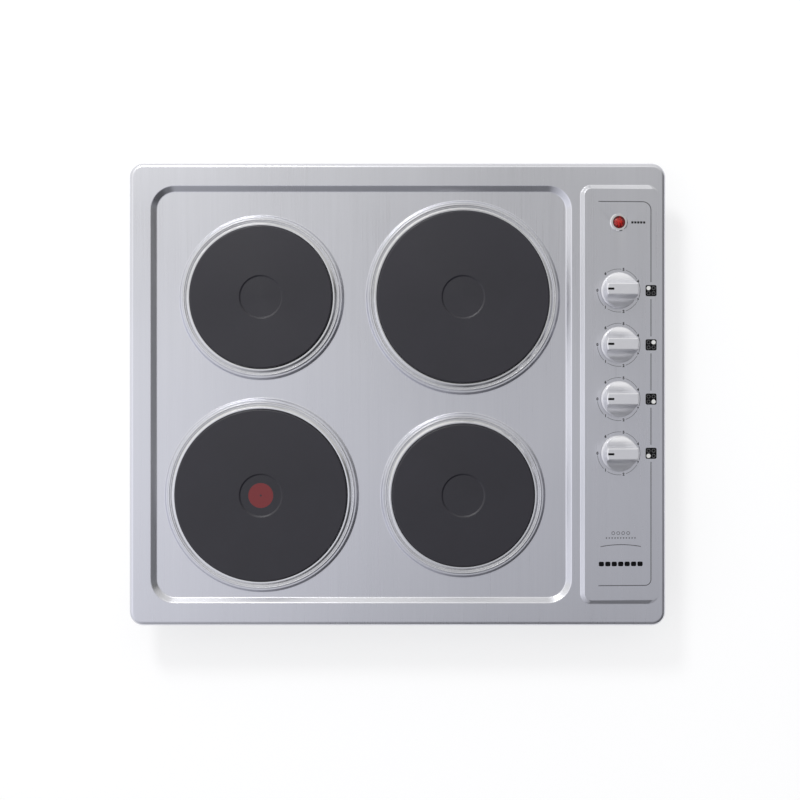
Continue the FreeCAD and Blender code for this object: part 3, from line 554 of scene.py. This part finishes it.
def turned_iron(name, centre):
    """Blackened iron with the fine rings left by the turning tool and a bluer heat bloom outwards."""
    finish = Finish(name, {"Metallic": 0.10, "IOR": 1.62})
    where = finish.place(centre)
    flat = finish.node("ShaderNodeVectorMath", {"operation": "MULTIPLY"}, {0: where, 1: (1, 1, 0)})
    radius = finish.node("ShaderNodeVectorMath", {"operation": "LENGTH"}, {0: flat}, 1)
    wander = finish.noise(where, 60.0, 2.0)
    rings = finish.node("ShaderNodeMath", {"operation": "SINE"},
                        {0: (radius + wander * 0.0002) * (2 * math.pi / TURNING_PITCH)})
    cast = finish.noise(where, 900.0, 4.0, 0.6)
    bloom = finish.noise(where, 14.0, 3.0)
    shade = bloom * 0.6 + cast * 0.25 + rings * 0.05 + radius * 1.2
    finish.coat_with({"Base Color": finish.mix(shade, IRON_DARK, IRON_LIGHT),
                      "Roughness": (cast - 0.5) * 0.18 + rings * 0.03 + 0.44})
    finish.bump(rings * 0.7 + cast * 0.6, 0.022 * MM)
    return finish.material


def enamel(name, colour, roughness):
    finish = Finish(name, {"IOR": 1.5})
    grain = finish.noise(finish.place(), 1400.0)
    deep = tuple(0.8 * part for part in colour[:3]) + (1,)
    finish.coat_with({"Base Color": finish.mix(grain, deep, colour),
                      "Roughness": grain * 0.12 + roughness})
    finish.bump(grain, 0.01 * MM)
    return finish.material


for place, (x, y, radius) in plate_spots.items():
    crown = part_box("hotplate_" + place)[1].z
    foot = crown - PLATE_FLANGE
    skirt = radius - SKIRT_INSET
    groove = well_floor + COLLAR_RISE
    dish = crown - DISH_DEPTH
    section = [
        (0, dish + NIB_RISE, 0), (CENTRE_NIB * 0.4, dish + NIB_RISE, 0), (CENTRE_NIB, dish, 0),
        (DISH_RADIUS - DISH_WALL, dish, 0.5 * MM), (DISH_RADIUS, crown, 0.3 * MM),
        (radius, crown, PLATE_EDGE), (radius, groove + GROOVE_TOP, 0.1 * MM),
        (radius - GROOVE_DEPTH, groove + GROOVE_TOP, 0), (radius - GROOVE_DEPTH, groove - GROOVE_FOOT, 0),
        (radius, groove - GROOVE_FOOT, 0), (radius, foot, 0.4 * MM), (skirt, foot, 0),
        (skirt, foot - SKIRT_DROP, 0.5 * MM), (skirt - PLATE_SKIRT, foot - SKIRT_DROP, 0.5 * MM),
        (skirt - PLATE_SKIRT, crown - PLATE_DISC, 0), (HUB_RADIUS, crown - PLATE_DISC, 0),
        (HUB_RADIUS, foot - SKIRT_DROP, 0), (0, foot - SKIRT_DROP, 0),
    ]
    plate = add_spun("iron_plate_" + place, section, False, Matrix.Translation((x, y, 0)),
                     turned_iron("turned_iron_" + place, (x, y, crown)))
    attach(plate, "hob")
    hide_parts("hotplate_" + place)
    if place == "front_left":
        dot_section = [(0, dish + DOT_TOP, 0), (DOT_RADIUS, dish + DOT_TOP, 0.05 * MM),
                       (DOT_RADIUS, dish + DOT_FOOT, 0), (0, dish + DOT_FOOT, 0)]
        dot = add_spun("rapid_plate_dot", dot_section, False, Matrix.Translation((x, y, 0)),
                       enamel("red_enamel", DOT_COLOUR, DOT_ROUGHNESS), DOT_STEPS)
        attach(dot, "hob")


# ==== Spill rings ================================================================
# A ring of thin bright stainless is crimped into the groove round each plate. It stands up at the
# plate, dips to a shallow gutter, and ends in a rolled bead that rests over the sheet's collar.

RING_SHEET = 0.6 * MM
# From the plate outwards: distance from the plate, height over the collar and bend, in millimetres.
RING_PROFILE = [(-0.8, 0.3, 0), (0.6, 0.3, 0.4), (0.6, 3.7, 0.6), (2.7, 3.7, 0.7), (5.4, 1.3, 0.7),
                (6.2, 1.3, 0.4), (6.9, 2.4, 0.3), (7.6, 2.4, 0.3), (8.3, 1.5, 0.5), (8.3, 0.4, 0)]
RING_COLOUR = (0.79, 0.79, 0.81, 1)
RING_ROUGHNESS = 0.19


def polished_steel(name, centre, colour, roughness):
    """Bright stainless spun on a lathe: fine rings and a few rub marks."""
    finish = Finish(name, {"Metallic": 1.0})
    where = finish.place(centre)
    flat = finish.node("ShaderNodeVectorMath", {"operation": "MULTIPLY"}, {0: where, 1: (1, 1, 0)})
    radius = finish.node("ShaderNodeVectorMath", {"operation": "LENGTH"}, {0: flat}, 1)
    outwards = finish.node("ShaderNodeCombineXYZ", None, {0: radius * 3000, 1: 0.0, 2: 0.0})
    lines = finish.noise(outwards, 1.0, 2.0)
    rubs = finish.noise(where, 120.0, 4.0, 0.65)
    dull = tuple(0.9 * part for part in colour[:3]) + (1,)
    finish.coat_with({"Base Color": finish.mix(rubs, dull, colour),
                      "Roughness": (lines - 0.5) * 0.10 + (rubs - 0.5) * 0.08 + roughness})
    finish.bump(lines, 0.004 * MM)
    return finish.material


def sheet_section(path, thickness):
    """Closed section of a bent sheet: a centre line of (radius, height, bend) given its thickness."""
    line = [Vector(point[:2]) for point in path]
    sides = ([], [])
    for i, here in enumerate(line):
        into = (here - line[i - 1]).normalized() if i else (line[1] - here).normalized()
        out = (line[i + 1] - here).normalized() if i < len(line) - 1 else into
        normal = (Vector((-into.y, into.x)) + Vector((-out.y, out.x))).normalized()
        reach = thickness / 2 / normal.dot(Vector((-into.y, into.x)))
        bend = path[i][2]
        turn = into.x * out.y - into.y * out.x
        for side, sign in zip(sides, (1, -1)):
            spot = here + normal * reach * sign
            outer = sign * turn < 0
            rounding = bend + thickness / 2 if outer else max(bend - thickness / 2, 0.05 * MM)
            side.append((spot.x, spot.y, rounding if bend else 0))
    return sides[0] + sides[1][::-1]


for place, (x, y, radius) in plate_spots.items():
    collar = well_floor + COLLAR_RISE
    centre_line = [(radius + out * MM, collar + up * MM, bend * MM) for out, up, bend in RING_PROFILE]
    bright = polished_steel("spun_stainless_" + place, (x, y, collar), RING_COLOUR, RING_ROUGHNESS)
    ring = add_spun("steel_ring_" + place, sheet_section(centre_line, RING_SHEET), True,
                    Matrix.Translation((x, y, 0)), bright, ease=3)
    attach(ring, "hob")
    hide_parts("spill_ring_" + place)


# ==== Plate seals, heaters and fixings ===========================================
# Under each plate: a ceramic-fibre ring below the spill ring, resistance coils bedded in the iron, a
# sheet cover, a steatite terminal block, and a sprung bridge drawn up by a nut on the centre stud.

FIBRE_COLOUR = (0.72, 0.68, 0.60, 1)
COIL_COLOUR = (0.085, 0.065, 0.055, 1)
STEATITE_COLOUR = (0.70, 0.66, 0.56, 1)
SPRING_COLOUR = (0.16, 0.16, 0.19, 1)
ZINC_COLOUR = (0.56, 0.57, 0.56, 1)
GALVANISED_COLOUR = (0.50, 0.52, 0.54, 1)
SPANGLE_SIZE = 7.0 * MM
ALUMINIUM_COLOUR = (0.62, 0.62, 0.63, 1)


def coat(material, *nodes):
    """Gives the CAD's own solids a finish."""
    for node in nodes:
        for slot in bpy.data.objects[node].material_slots:
            slot.material = material


def at_each_plate(name):
    return [name + "_" + place for place in places]


def speckled(name, colour, share, roughness, scale, relief, constants):
    """Surface with an even fine grain: two tones of one colour, and the grain in relief."""
    finish = Finish(name, constants)
    where = finish.place()
    grain = finish.noise(where, scale, 4.0, 0.6)
    drift = finish.noise(where, scale / 22, 2.0)
    darker = tuple(share * part for part in colour[:3]) + (1,)
    finish.coat_with({"Base Color": finish.mix(grain * 0.6 + drift * 0.4, darker, colour),
                      "Roughness": (grain - 0.5) * 0.2 + (drift - 0.5) * 0.1 + roughness})
    finish.bump(grain, relief)
    return finish.material


def spangled(name, colour, crystal):
    """Zinc-dipped sheet: interlocking crystals, each turned its own way to the light."""
    finish = Finish(name, {"Metallic": 0.9})
    where = finish.place()
    crystals = {"Vector": where, "Scale": 1 / crystal}
    tint = finish.node("ShaderNodeTexVoronoi", {"feature": "F1"}, crystals, 1)
    lean, sheen, blue = (finish.node("ShaderNodeSeparateColor", None, {0: tint}, part)
                         for part in range(3))
    fine = finish.noise(where, 700.0, 3.0)
    tone = lean * 0.7 + fine * 0.3
    cool = tuple(0.72 * part for part in colour[:2]) + (0.78 * colour[2], 1)
    finish.coat_with({"Base Color": finish.mix(tone, cool, colour),
                      "Roughness": sheen * 0.16 + blue * 0.06 + fine * 0.06 + 0.30})
    finish.bump(fine * 0.4 + lean * 0.6, 0.012 * MM)
    return finish.material


zinc = speckled("zinc_plating", ZINC_COLOUR, 0.75, 0.34, 1500.0, 0.008 * MM, {"Metallic": 0.95})
galvanised = spangled("galvanised_sheet", GALVANISED_COLOUR, SPANGLE_SIZE)
sprung = speckled("blued_spring_steel", SPRING_COLOUR, 0.7, 0.38, 900.0, 0.008 * MM, {"Metallic": 0.9})
coat(speckled("ceramic_fibre", FIBRE_COLOUR, 0.82, 0.95, 2600.0, 0.15 * MM, {}), "plate_seals")
coat(speckled("oxidised_coil", COIL_COLOUR, 0.6, 0.62, 1800.0, 0.03 * MM, {"Metallic": 0.5}),
     *at_each_plate("heater"))
coat(speckled("fired_steatite", STEATITE_COLOUR, 0.9, 0.45, 1200.0, 0.02 * MM, {"IOR": 1.55}),
     "plate_terminals")
coat(speckled("pressed_aluminium", ALUMINIUM_COLOUR, 0.85, 0.36, 1400.0, 0.01 * MM, {"Metallic": 0.95}),
     "thermal_limiter")
coat(sprung, *at_each_plate("plate_bridge"))
coat(galvanised, "plate_covers")
coat(zinc, "plate_studs", "plate_nuts")


# ==== Energy switches ============================================================
# Four seven-position switches in brown phenolic, each held under the panel by two screws that the
# knob covers, with a turned steel spindle that comes up through the panel.

PHENOLIC_COLOUR = (0.055, 0.035, 0.024, 1)
SPINDLE_COLOUR = (0.50, 0.50, 0.51, 1)

coat(speckled("moulded_phenolic", PHENOLIC_COLOUR, 0.7, 0.45, 800.0, 0.02 * MM, {"IOR": 1.6}),
     *at_each_plate("switch"))
coat(brushed_steel("turned_spindle_steel", SPINDLE_COLOUR, 0.28, 400, 2400, 0.004 * MM),
     *at_each_plate("switch_shaft"))
coat(sprung, *at_each_plate("knob_clip"))
coat(zinc, "switch_screws")


# ==== Knobs ======================================================================
# Silver-lacquered moulded knobs: a round skirt and drum with a grip bar across the top between two
# scooped cheeks. A black pointer is pad-printed at the pointing end of the bar.

LACQUER_COLOUR = (0.80, 0.80, 0.835, 1)
KNOB_TOP = 21.478 * MM
POINTER_START = -16.2 * MM
POINTER_LENGTH = 6.6 * MM
POINTER_WIDTH = 2.3 * MM
POINTER_CORNER = 0.4 * MM
INK_RISE = 0.03 * MM
INK_SINK = 0.03 * MM
INK_BLACK = (0.006, 0.006, 0.007, 1)


def lacquered(name, colour):
    """Silver lacquer over plastic: metal flakes too fine to see singly, under a satin coat."""
    finish = Finish(name, {"Metallic": 0.62, "IOR": 1.5, "Coat Roughness": 0.16})
    where = finish.place()
    flakes = finish.node("ShaderNodeTexVoronoi", {"feature": "F1"},
                         {"Vector": where, "Scale": 9000.0}, 1)
    glint = finish.node("ShaderNodeSeparateColor", None, {0: flakes})
    cloud = finish.noise(where, 90.0, 3.0)
    handled = finish.noise(where, 500.0, 4.0, 0.65)
    darker = tuple(0.86 * part for part in colour[:3]) + (1,)
    finish.coat_with({"Base Color": finish.mix(glint * 0.5 + cloud * 0.5, darker, colour),
                      "Roughness": (handled - 0.5) * 0.10 + glint * 0.03 + 0.30,
                      "Coat Weight": cloud * 0.15 + 0.12})
    finish.bump(handled, 0.004 * MM)
    return finish.material


def ink(name, colour):
    """Screen-printed ink: slightly uneven, with the roughness of dried pigment."""
    matt = {"IOR": 1.48, "Specular IOR Level": 0.06}
    return speckled(name, colour, 0.7, 0.55, 2200.0, 0.006 * MM, matt)


def ink_layer(shapes):
    """Thin closed layers of ink. Each shape is an outline and then the outlines of its holes."""
    bm = bmesh.new()
    for shape in shapes:
        fill(bm, [closed_loop(bm, [(x, y, -INK_SINK) for x, y, z in outline]) for outline in shape])
    made = bmesh.ops.extrude_face_region(bm, geom=bm.faces[:], use_keep_orig=True)["geom"]
    raised = [item for item in made if isinstance(item, bmesh.types.BMVert)]
    bmesh.ops.translate(bm, vec=(0, 0, INK_SINK + INK_RISE), verts=raised)
    bmesh.ops.recalc_face_normals(bm, faces=bm.faces)
    return bm


silver_lacquer = lacquered("silver_lacquer", LACQUER_COLOUR)
black_ink = ink("black_ink", INK_BLACK)
coat(silver_lacquer, *at_each_plate("knob"))
for place, joint in knob_joints.items():
    spot = Vector(joint["pos_m"])
    half = POINTER_WIDTH / 2
    outline = rounded_rectangle(POINTER_START, POINTER_START + POINTER_LENGTH, -half, half,
                                POINTER_CORNER, level_at(0), 4)
    mark_bm = ink_layer([[outline]])
    knob_top = on_panel(spot.x, spot.y) @ Matrix.Translation((0, 0, KNOB_TOP))
    bmesh.ops.transform(mark_bm, matrix=knob_top, verts=mark_bm.verts)
    mark = add_object("knob_pointer_" + place, mark_bm, [black_ink], smooth=False)
    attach(mark, "control_" + place)


# ==== Panel print ================================================================
# Screen-printed in black and grey on the steel: a numbered dial round each knob, a sign beside it
# that shows which plate it works, a fine border line, and plain ornaments.

DIAL_RADIUS = 23.2 * MM
DIAL_STEPS = 7
DIAL_LINE = 0.42 * MM
DIAL_GAP = math.radians(6.0)
DIGIT_SIZE = 4.0 * MM
DIGIT_WEIGHT = 0.20 * MM
SIGN_X = 273.6 * MM
SIGN_SIZE = 12.0 * MM
SIGN_CORNER = 1.8 * MM
SIGN_PITCH = 2.75 * MM
SIGN_RADIUS = 1.95 * MM
SIGN_MARK = 2.3 * MM
SIGN_LINE = 0.4 * MM
BORDER_X0 = 216.4 * MM
BORDER_X1 = 273.5 * MM
BORDER_REAR = 207.9 * MM
BORDER_FRONT = -206.0 * MM
BORDER_LINE = 0.9 * MM
BORDER_BEND_REAR = 9.0 * MM
BORDER_BEND_FRONT = 6.5 * MM
BORDER_BREAK = 9.2 * MM
ORNAMENT_X = 240.6 * MM
BOW_Y = -161.9 * MM
BOW_RADIUS = 116.0 * MM
BOW_TURN = math.radians(10.9)
BOW_WIDTH = 0.8 * MM
DOTS_Y = -154.7 * MM
DOTS_PITCH = 3.1 * MM
DOT_SIZE = 0.75 * MM
RINGS_Y = -149.5 * MM
RINGS_PITCH = 5.4 * MM
RING_SIZE = 1.9 * MM
RING_LINE = 0.55 * MM
DASHES_Y = -182.7 * MM
DASH_PITCH = 7.0 * MM
DASH_SIZE = (5.7 * MM, 5.0 * MM)
DASH_CORNER = 1.4 * MM
LAMP_DASHES_X = 259.7 * MM
LAMP_DASH_PITCH = 3.2 * MM
LAMP_DASH_SIZE = (2.3 * MM, 2.3 * MM)
INK_GREY = (0.105, 0.105, 0.115, 1)
INK_PALE = (0.22, 0.22, 0.23, 1)
INK_WHITE = (0.90, 0.90, 0.89, 1)
INK_SECOND = 0.03 * MM

grey_ink = ink("grey_ink", INK_GREY)
pale_ink = ink("pale_grey_ink", INK_PALE)
white_ink = ink("white_ink", INK_WHITE)


def bar(x0, x1, y0, y1):
    """Outline of a straight printed line."""
    return [(x0, y0, 0), (x1, y0, 0), (x1, y1, 0), (x0, y1, 0)]


def bent_bar(x, y, radius, width, start, end, steps=12):
    """Outline of a printed line that follows an arc."""
    turns = [start + (end - start) * i / steps for i in range(steps + 1)]
    outline = []
    for reach, order in ((radius + width / 2, turns), (radius - width / 2, turns[::-1])):
        outline += [(x + reach * math.cos(turn), y + reach * math.sin(turn), 0) for turn in order]
    return outline


def round_spot(x, y, radius):
    return circle(x, y, radius, level_at(0), 32)


def print_on_panel(name, bm, material, x, y, lift=0.0):
    """Lays ink drawn about the origin on to the sloping panel."""
    bmesh.ops.transform(bm, matrix=on_panel(x, y) @ Matrix.Translation((0, 0, lift)), verts=bm.verts)
    printed = add_object(name, bm, [material], smooth=False)
    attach(printed, "hob")


def add_digits(bm, bodies_and_spots):
    """Sets upright numerals into a layer of ink."""
    for body, x, y in bodies_and_spots:
        text = bpy.data.curves.new("numeral", "FONT")
        text.body = body
        text.size = DIGIT_SIZE
        text.align_x = "CENTER"
        text.align_y = "CENTER"
        text.extrude = (INK_SINK + INK_RISE) / 2
        text.offset = DIGIT_WEIGHT
        setter = bpy.data.objects.new("numeral", text)
        mesh = bpy.data.meshes.new_from_object(setter)
        mesh.transform(Matrix.Translation((x, y, 0)))
        bm.from_mesh(mesh)
        bpy.data.objects.remove(setter)
        bpy.data.meshes.remove(mesh)
    bmesh.ops.remove_doubles(bm, verts=bm.verts, dist=0.001 * MM)


pitch = 2 * math.pi / DIAL_STEPS
corners = {"rear_left": (-1, 1), "rear_right": (1, 1), "front_left": (-1, -1), "front_right": (1, -1)}
for place, joint in knob_joints.items():
    spot = Vector(joint["pos_m"])
    lines = []
    numerals = []
    for step in range(DIAL_STEPS):
        turn = math.pi + step * pitch
        numerals.append((str(step), DIAL_RADIUS * math.cos(turn), DIAL_RADIUS * math.sin(turn)))
        if step < DIAL_STEPS - 1:
            end = turn + pitch - DIAL_GAP
            lines.append([bent_bar(0, 0, DIAL_RADIUS, DIAL_LINE, turn + DIAL_GAP, end)])
    print_on_panel("dial_line_" + place, ink_layer(lines), grey_ink, spot.x, spot.y)
    numeral_bm = bmesh.new()
    add_digits(numeral_bm, numerals)
    print_on_panel("dial_numerals_" + place, numeral_bm, black_ink, spot.x, spot.y)
    half = SIGN_SIZE / 2
    block = ink_layer([[rounded_rectangle(-half, half, -half, half, SIGN_CORNER, level_at(0), 5)]])
    print_on_panel("plate_sign_" + place, block, black_ink, SIGN_X, spot.y)
    signs = []
    for other, (side, end) in corners.items():
        at = (side * SIGN_PITCH, end * SIGN_PITCH)
        if other == place:
            signs.append([round_spot(*at, SIGN_MARK)])
        else:
            signs.append([round_spot(*at, SIGN_RADIUS), round_spot(*at, SIGN_RADIUS - SIGN_LINE)])
    own = signs.pop(list(corners).index(place))
    print_on_panel("plate_sign_mark_" + place, ink_layer([own]), white_ink, SIGN_X, spot.y, INK_SECOND)
    print_on_panel("plate_sign_rings_" + place, ink_layer(signs), pale_ink, SIGN_X, spot.y, INK_SECOND)


def hooked_line(start_x, y, run_y, bend, width):
    """Outline of a line that starts at start_x, turns a quarter at x = 0 and runs on to run_y."""
    side = 1 if y > run_y else -1
    arc = bent_bar(-bend, y - side * bend, bend, width, side * math.pi / 2, 0)
    outer = arc[:len(arc) // 2]
    inner = arc[len(arc) // 2:]
    foot = [(width / 2, run_y, 0), (-width / 2, run_y, 0)]
    start = [(start_x, y - side * width / 2, 0), (start_x, y + side * width / 2, 0)]
    return start[1:] + outer + foot + inner + start[:1]


rows = sorted(joint["pos_m"][1] for joint in knob_joints.values())
reach = BORDER_X0 - BORDER_X1
border = [[hooked_line(reach, BORDER_REAR, rows[-1] + BORDER_BREAK, BORDER_BEND_REAR, BORDER_LINE)],
          [hooked_line(reach, BORDER_FRONT, rows[0] - BORDER_BREAK, BORDER_BEND_FRONT, BORDER_LINE)]]
for lower, upper in zip(rows, rows[1:]):
    border.append([bar(-BORDER_LINE / 2, BORDER_LINE / 2, lower + BORDER_BREAK, upper - BORDER_BREAK)])
print_on_panel("border_line", ink_layer(border), grey_ink, BORDER_X1, 0)

upright = math.pi / 2
bow = [[bent_bar(0, BOW_Y - BOW_RADIUS, BOW_RADIUS, BOW_WIDTH, upright - BOW_TURN, upright + BOW_TURN)]]
dots = [[round_spot(i * DOTS_PITCH, DOTS_Y, DOT_SIZE)] for i in range(-5, 6)]
rings = []
for i in range(-1, 3):
    x = (i - 0.5) * RINGS_PITCH
    rings.append([round_spot(x, RINGS_Y, RING_SIZE), round_spot(x, RINGS_Y, RING_SIZE - RING_LINE)])
print_on_panel("ornament_bow", ink_layer(bow + dots + rings), grey_ink, ORNAMENT_X, 0)
width, height = DASH_SIZE
dashes = []
for i in range(-3, 4):
    x = i * DASH_PITCH
    dashes.append([rounded_rectangle(x - width / 2, x + width / 2, DASHES_Y - height / 2,
                                     DASHES_Y + height / 2, DASH_CORNER, level_at(0), 4)])
print_on_panel("ornament_dashes", ink_layer(dashes), black_ink, ORNAMENT_X, 0)
width, height = LAMP_DASH_SIZE
dashes = []
for i in range(-2, 3):
    x = i * LAMP_DASH_PITCH
    dashes.append([bar(x - width / 2, x + width / 2, -height / 2, height / 2)])
print_on_panel("lamp_dashes", ink_layer(dashes), black_ink, LAMP_DASHES_X, lamp_spot.y)


# ==== Pilot lamp =================================================================
# A bright-plated bezel pressed into the panel holds a red ribbed lens, and the lamp holder pushes on
# to its barrel from below.

LENS_DARK = (0.10, 0.003, 0.003, 1)
LENS_RED = (0.48, 0.014, 0.008, 1)
# Painted light: the orange middle stands for bulb light showing through the lens.
LENS_PAINTED_GLOW_ORANGE = (0.85, 0.15, 0.045, 1)
LENS_REACH = 6.0 * MM
BEZEL_COLOUR = (0.86, 0.86, 0.88, 1)
BEZEL_ROUGHNESS = 0.13
HOLDER_COLOUR = (0.66, 0.66, 0.62, 1)


def ribbed_lens(name, centre):
    """Clear red plastic with small prisms moulded inside. The lighter orange middle and the glow are
    painted light from a bulb, not a lamp in the scene.
    """
    finish = Finish(name, {"IOR": 1.49, "Transmission Weight": 0.25})
    where = finish.place(centre)
    prisms = finish.node("ShaderNodeTexVoronoi", {"feature": "F1"}, {"Vector": where, "Scale": 700.0})
    radius = finish.node("ShaderNodeVectorMath", {"operation": "LENGTH"}, {0: where}, 1)
    outwards = radius / LENS_REACH + (prisms - 0.4) * 0.8
    stops = [(0.12, LENS_PAINTED_GLOW_ORANGE), (0.50, LENS_RED), (0.80, LENS_RED), (1.0, LENS_DARK)]
    tone = finish.node("ShaderNodeValToRGB", {"stops": stops}, {0: outwards})
    # Painted glow: the lens colour is also given as emission, so the lens shines though there is no lamp
    # inside it.
    finish.coat_with({"Base Color": tone, "Roughness": prisms * 0.1 + 0.12,
                      "Emission Color": tone, "Emission Strength": 0.25})
    finish.bump(prisms, 0.12 * MM)
    return finish.material


def plated(name, colour, roughness):
    """Bright plating over a pressing: nearly mirror, with hairline scuffs."""
    finish = Finish(name, {"Metallic": 1.0})
    where = finish.place()
    scuffs = finish.noise(where, 1300.0, 4.0, 0.7)
    veil = finish.noise(where, 200.0)
    dim = tuple(0.88 * part for part in colour[:3]) + (1,)
    finish.coat_with({"Base Color": finish.mix(veil, dim, colour),
                      "Roughness": (scuffs - 0.5) * 0.1 + roughness})
    finish.bump(scuffs, 0.003 * MM)
    return finish.material


lens_low, lens_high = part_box("lamp_lens")
coat(ribbed_lens("ribbed_red_lens", (lens_low + lens_high) / 2), "lamp_lens")
coat(plated("bright_plating", BEZEL_COLOUR, BEZEL_ROUGHNESS), "lamp_bezel")
coat(speckled("moulded_lamp_holder", HOLDER_COLOUR, 0.9, 0.5, 900.0, 0.01 * MM, {"IOR": 1.5}),
     "lamp_body")


# ==== Worktop seal ===============================================================
# A strip of closed-cell foam stuck under the rim. Tightening the clamps squeezes it on to the
# worktop, so that nothing spilt runs down into the cut-out.

FOAM_COLOUR = (0.030, 0.030, 0.032, 1)


def foam(name, colour):
    """Closed-cell foam: small round cells, cut open here and there."""
    finish = Finish(name, {"IOR": 1.45})
    where = finish.place()
    cells = finish.node("ShaderNodeTexVoronoi", {"feature": "SMOOTH_F1"},
                        {"Vector": where, "Scale": 1300.0})
    drift = finish.noise(where, 70.0)
    darker = tuple(0.55 * part for part in colour[:3]) + (1,)
    finish.coat_with({"Base Color": finish.mix(cells * 0.8 + drift * 0.3, darker, colour),
                      "Roughness": cells * 0.12 + 0.82})
    finish.bump(cells, 0.25 * MM)
    return finish.material


coat(foam("closed_cell_foam", FOAM_COLOUR), "worktop_gasket")


# ==== Bottom pan =================================================================
# A folded tray of galvanised sheet hangs on angles that are welded under the rim, and is fixed by
# three self-tapping screws at the front and three at the rear.

coat(galvanised, "bottom_pan", "fixing_brackets")
coat(zinc, "pan_screws")


# ==== Worktop clamps =============================================================
# Four flat steel dogs, zinc plated, each on a screw at a corner of the pan. They lie along the pan
# while the hob is let in, then swing out under the worktop.

coat(zinc, "clamp_screws", "clamp_nuts")
coat(speckled("barrelled_zinc", ZINC_COLOUR, 0.62, 0.40, 420.0, 0.03 * MM, {"Metallic": 0.9}),
     *at_each_plate("worktop_clamp"))


# ==== Mains connection ===========================================================
# A black moulded box in the pan's floor holds the terminal block and the cable saddle. Its lid swings
# down on a steel pin.

BOX_COLOUR = (0.022, 0.022, 0.024, 1)
TERMINAL_COLOUR = (0.62, 0.59, 0.50, 1)
BRASS_COLOUR = (0.72, 0.52, 0.20, 1)

coat(speckled("spark_textured_box", BOX_COLOUR, 0.6, 0.55, 1600.0, 0.05 * MM, {"IOR": 1.52}),
     "terminal_box", "terminal_lid", "cable_clamp")
coat(speckled("moulded_terminal_block", TERMINAL_COLOUR, 0.9, 0.42, 1000.0, 0.01 * MM, {"IOR": 1.55}),
     "terminal_block")
coat(speckled("turned_brass", BRASS_COLOUR, 0.75, 0.26, 1500.0, 0.006 * MM, {"Metallic": 1.0}),
     "terminal_screws")
coat(zinc, "lid_pin")


# ==== Wiring =====================================================================
# Bundles in glass-braid sleeving run from each plate to its switch, with single leads from switch to
# switch, to the pilot lamp and to the terminal block.

SLEEVE_COLOUR = (0.62, 0.60, 0.54, 1)
SLEEVE_DARK = (0.36, 0.34, 0.30, 1)
BRAID_PITCH = 1.1 * MM


def braid(name):
    """Woven glass sleeving: two sets of yarns crossing on the slant."""
    finish = Finish(name, {"IOR": 1.5})
    where = finish.place(turn=(0.6, 0.6, 0.785))
    x, y, z = finish.split(where)
    turns = 2 * math.pi / BRAID_PITCH
    along = finish.node("ShaderNodeMath", {"operation": "SINE"}, {0: (x + z) * turns})
    across = finish.node("ShaderNodeMath", {"operation": "SINE"}, {0: (y - z) * turns})
    weave = along * across * 0.5 + 0.5
    fluff = finish.noise(where, 1500.0, 3.0)
    finish.coat_with({"Base Color": finish.mix(weave * 0.7 + fluff * 0.3, SLEEVE_DARK, SLEEVE_COLOUR),
                      "Roughness": fluff * 0.2 + 0.7})
    finish.bump(weave, 0.12 * MM)
    return finish.material


coat(braid("glass_braid"), "wiring")
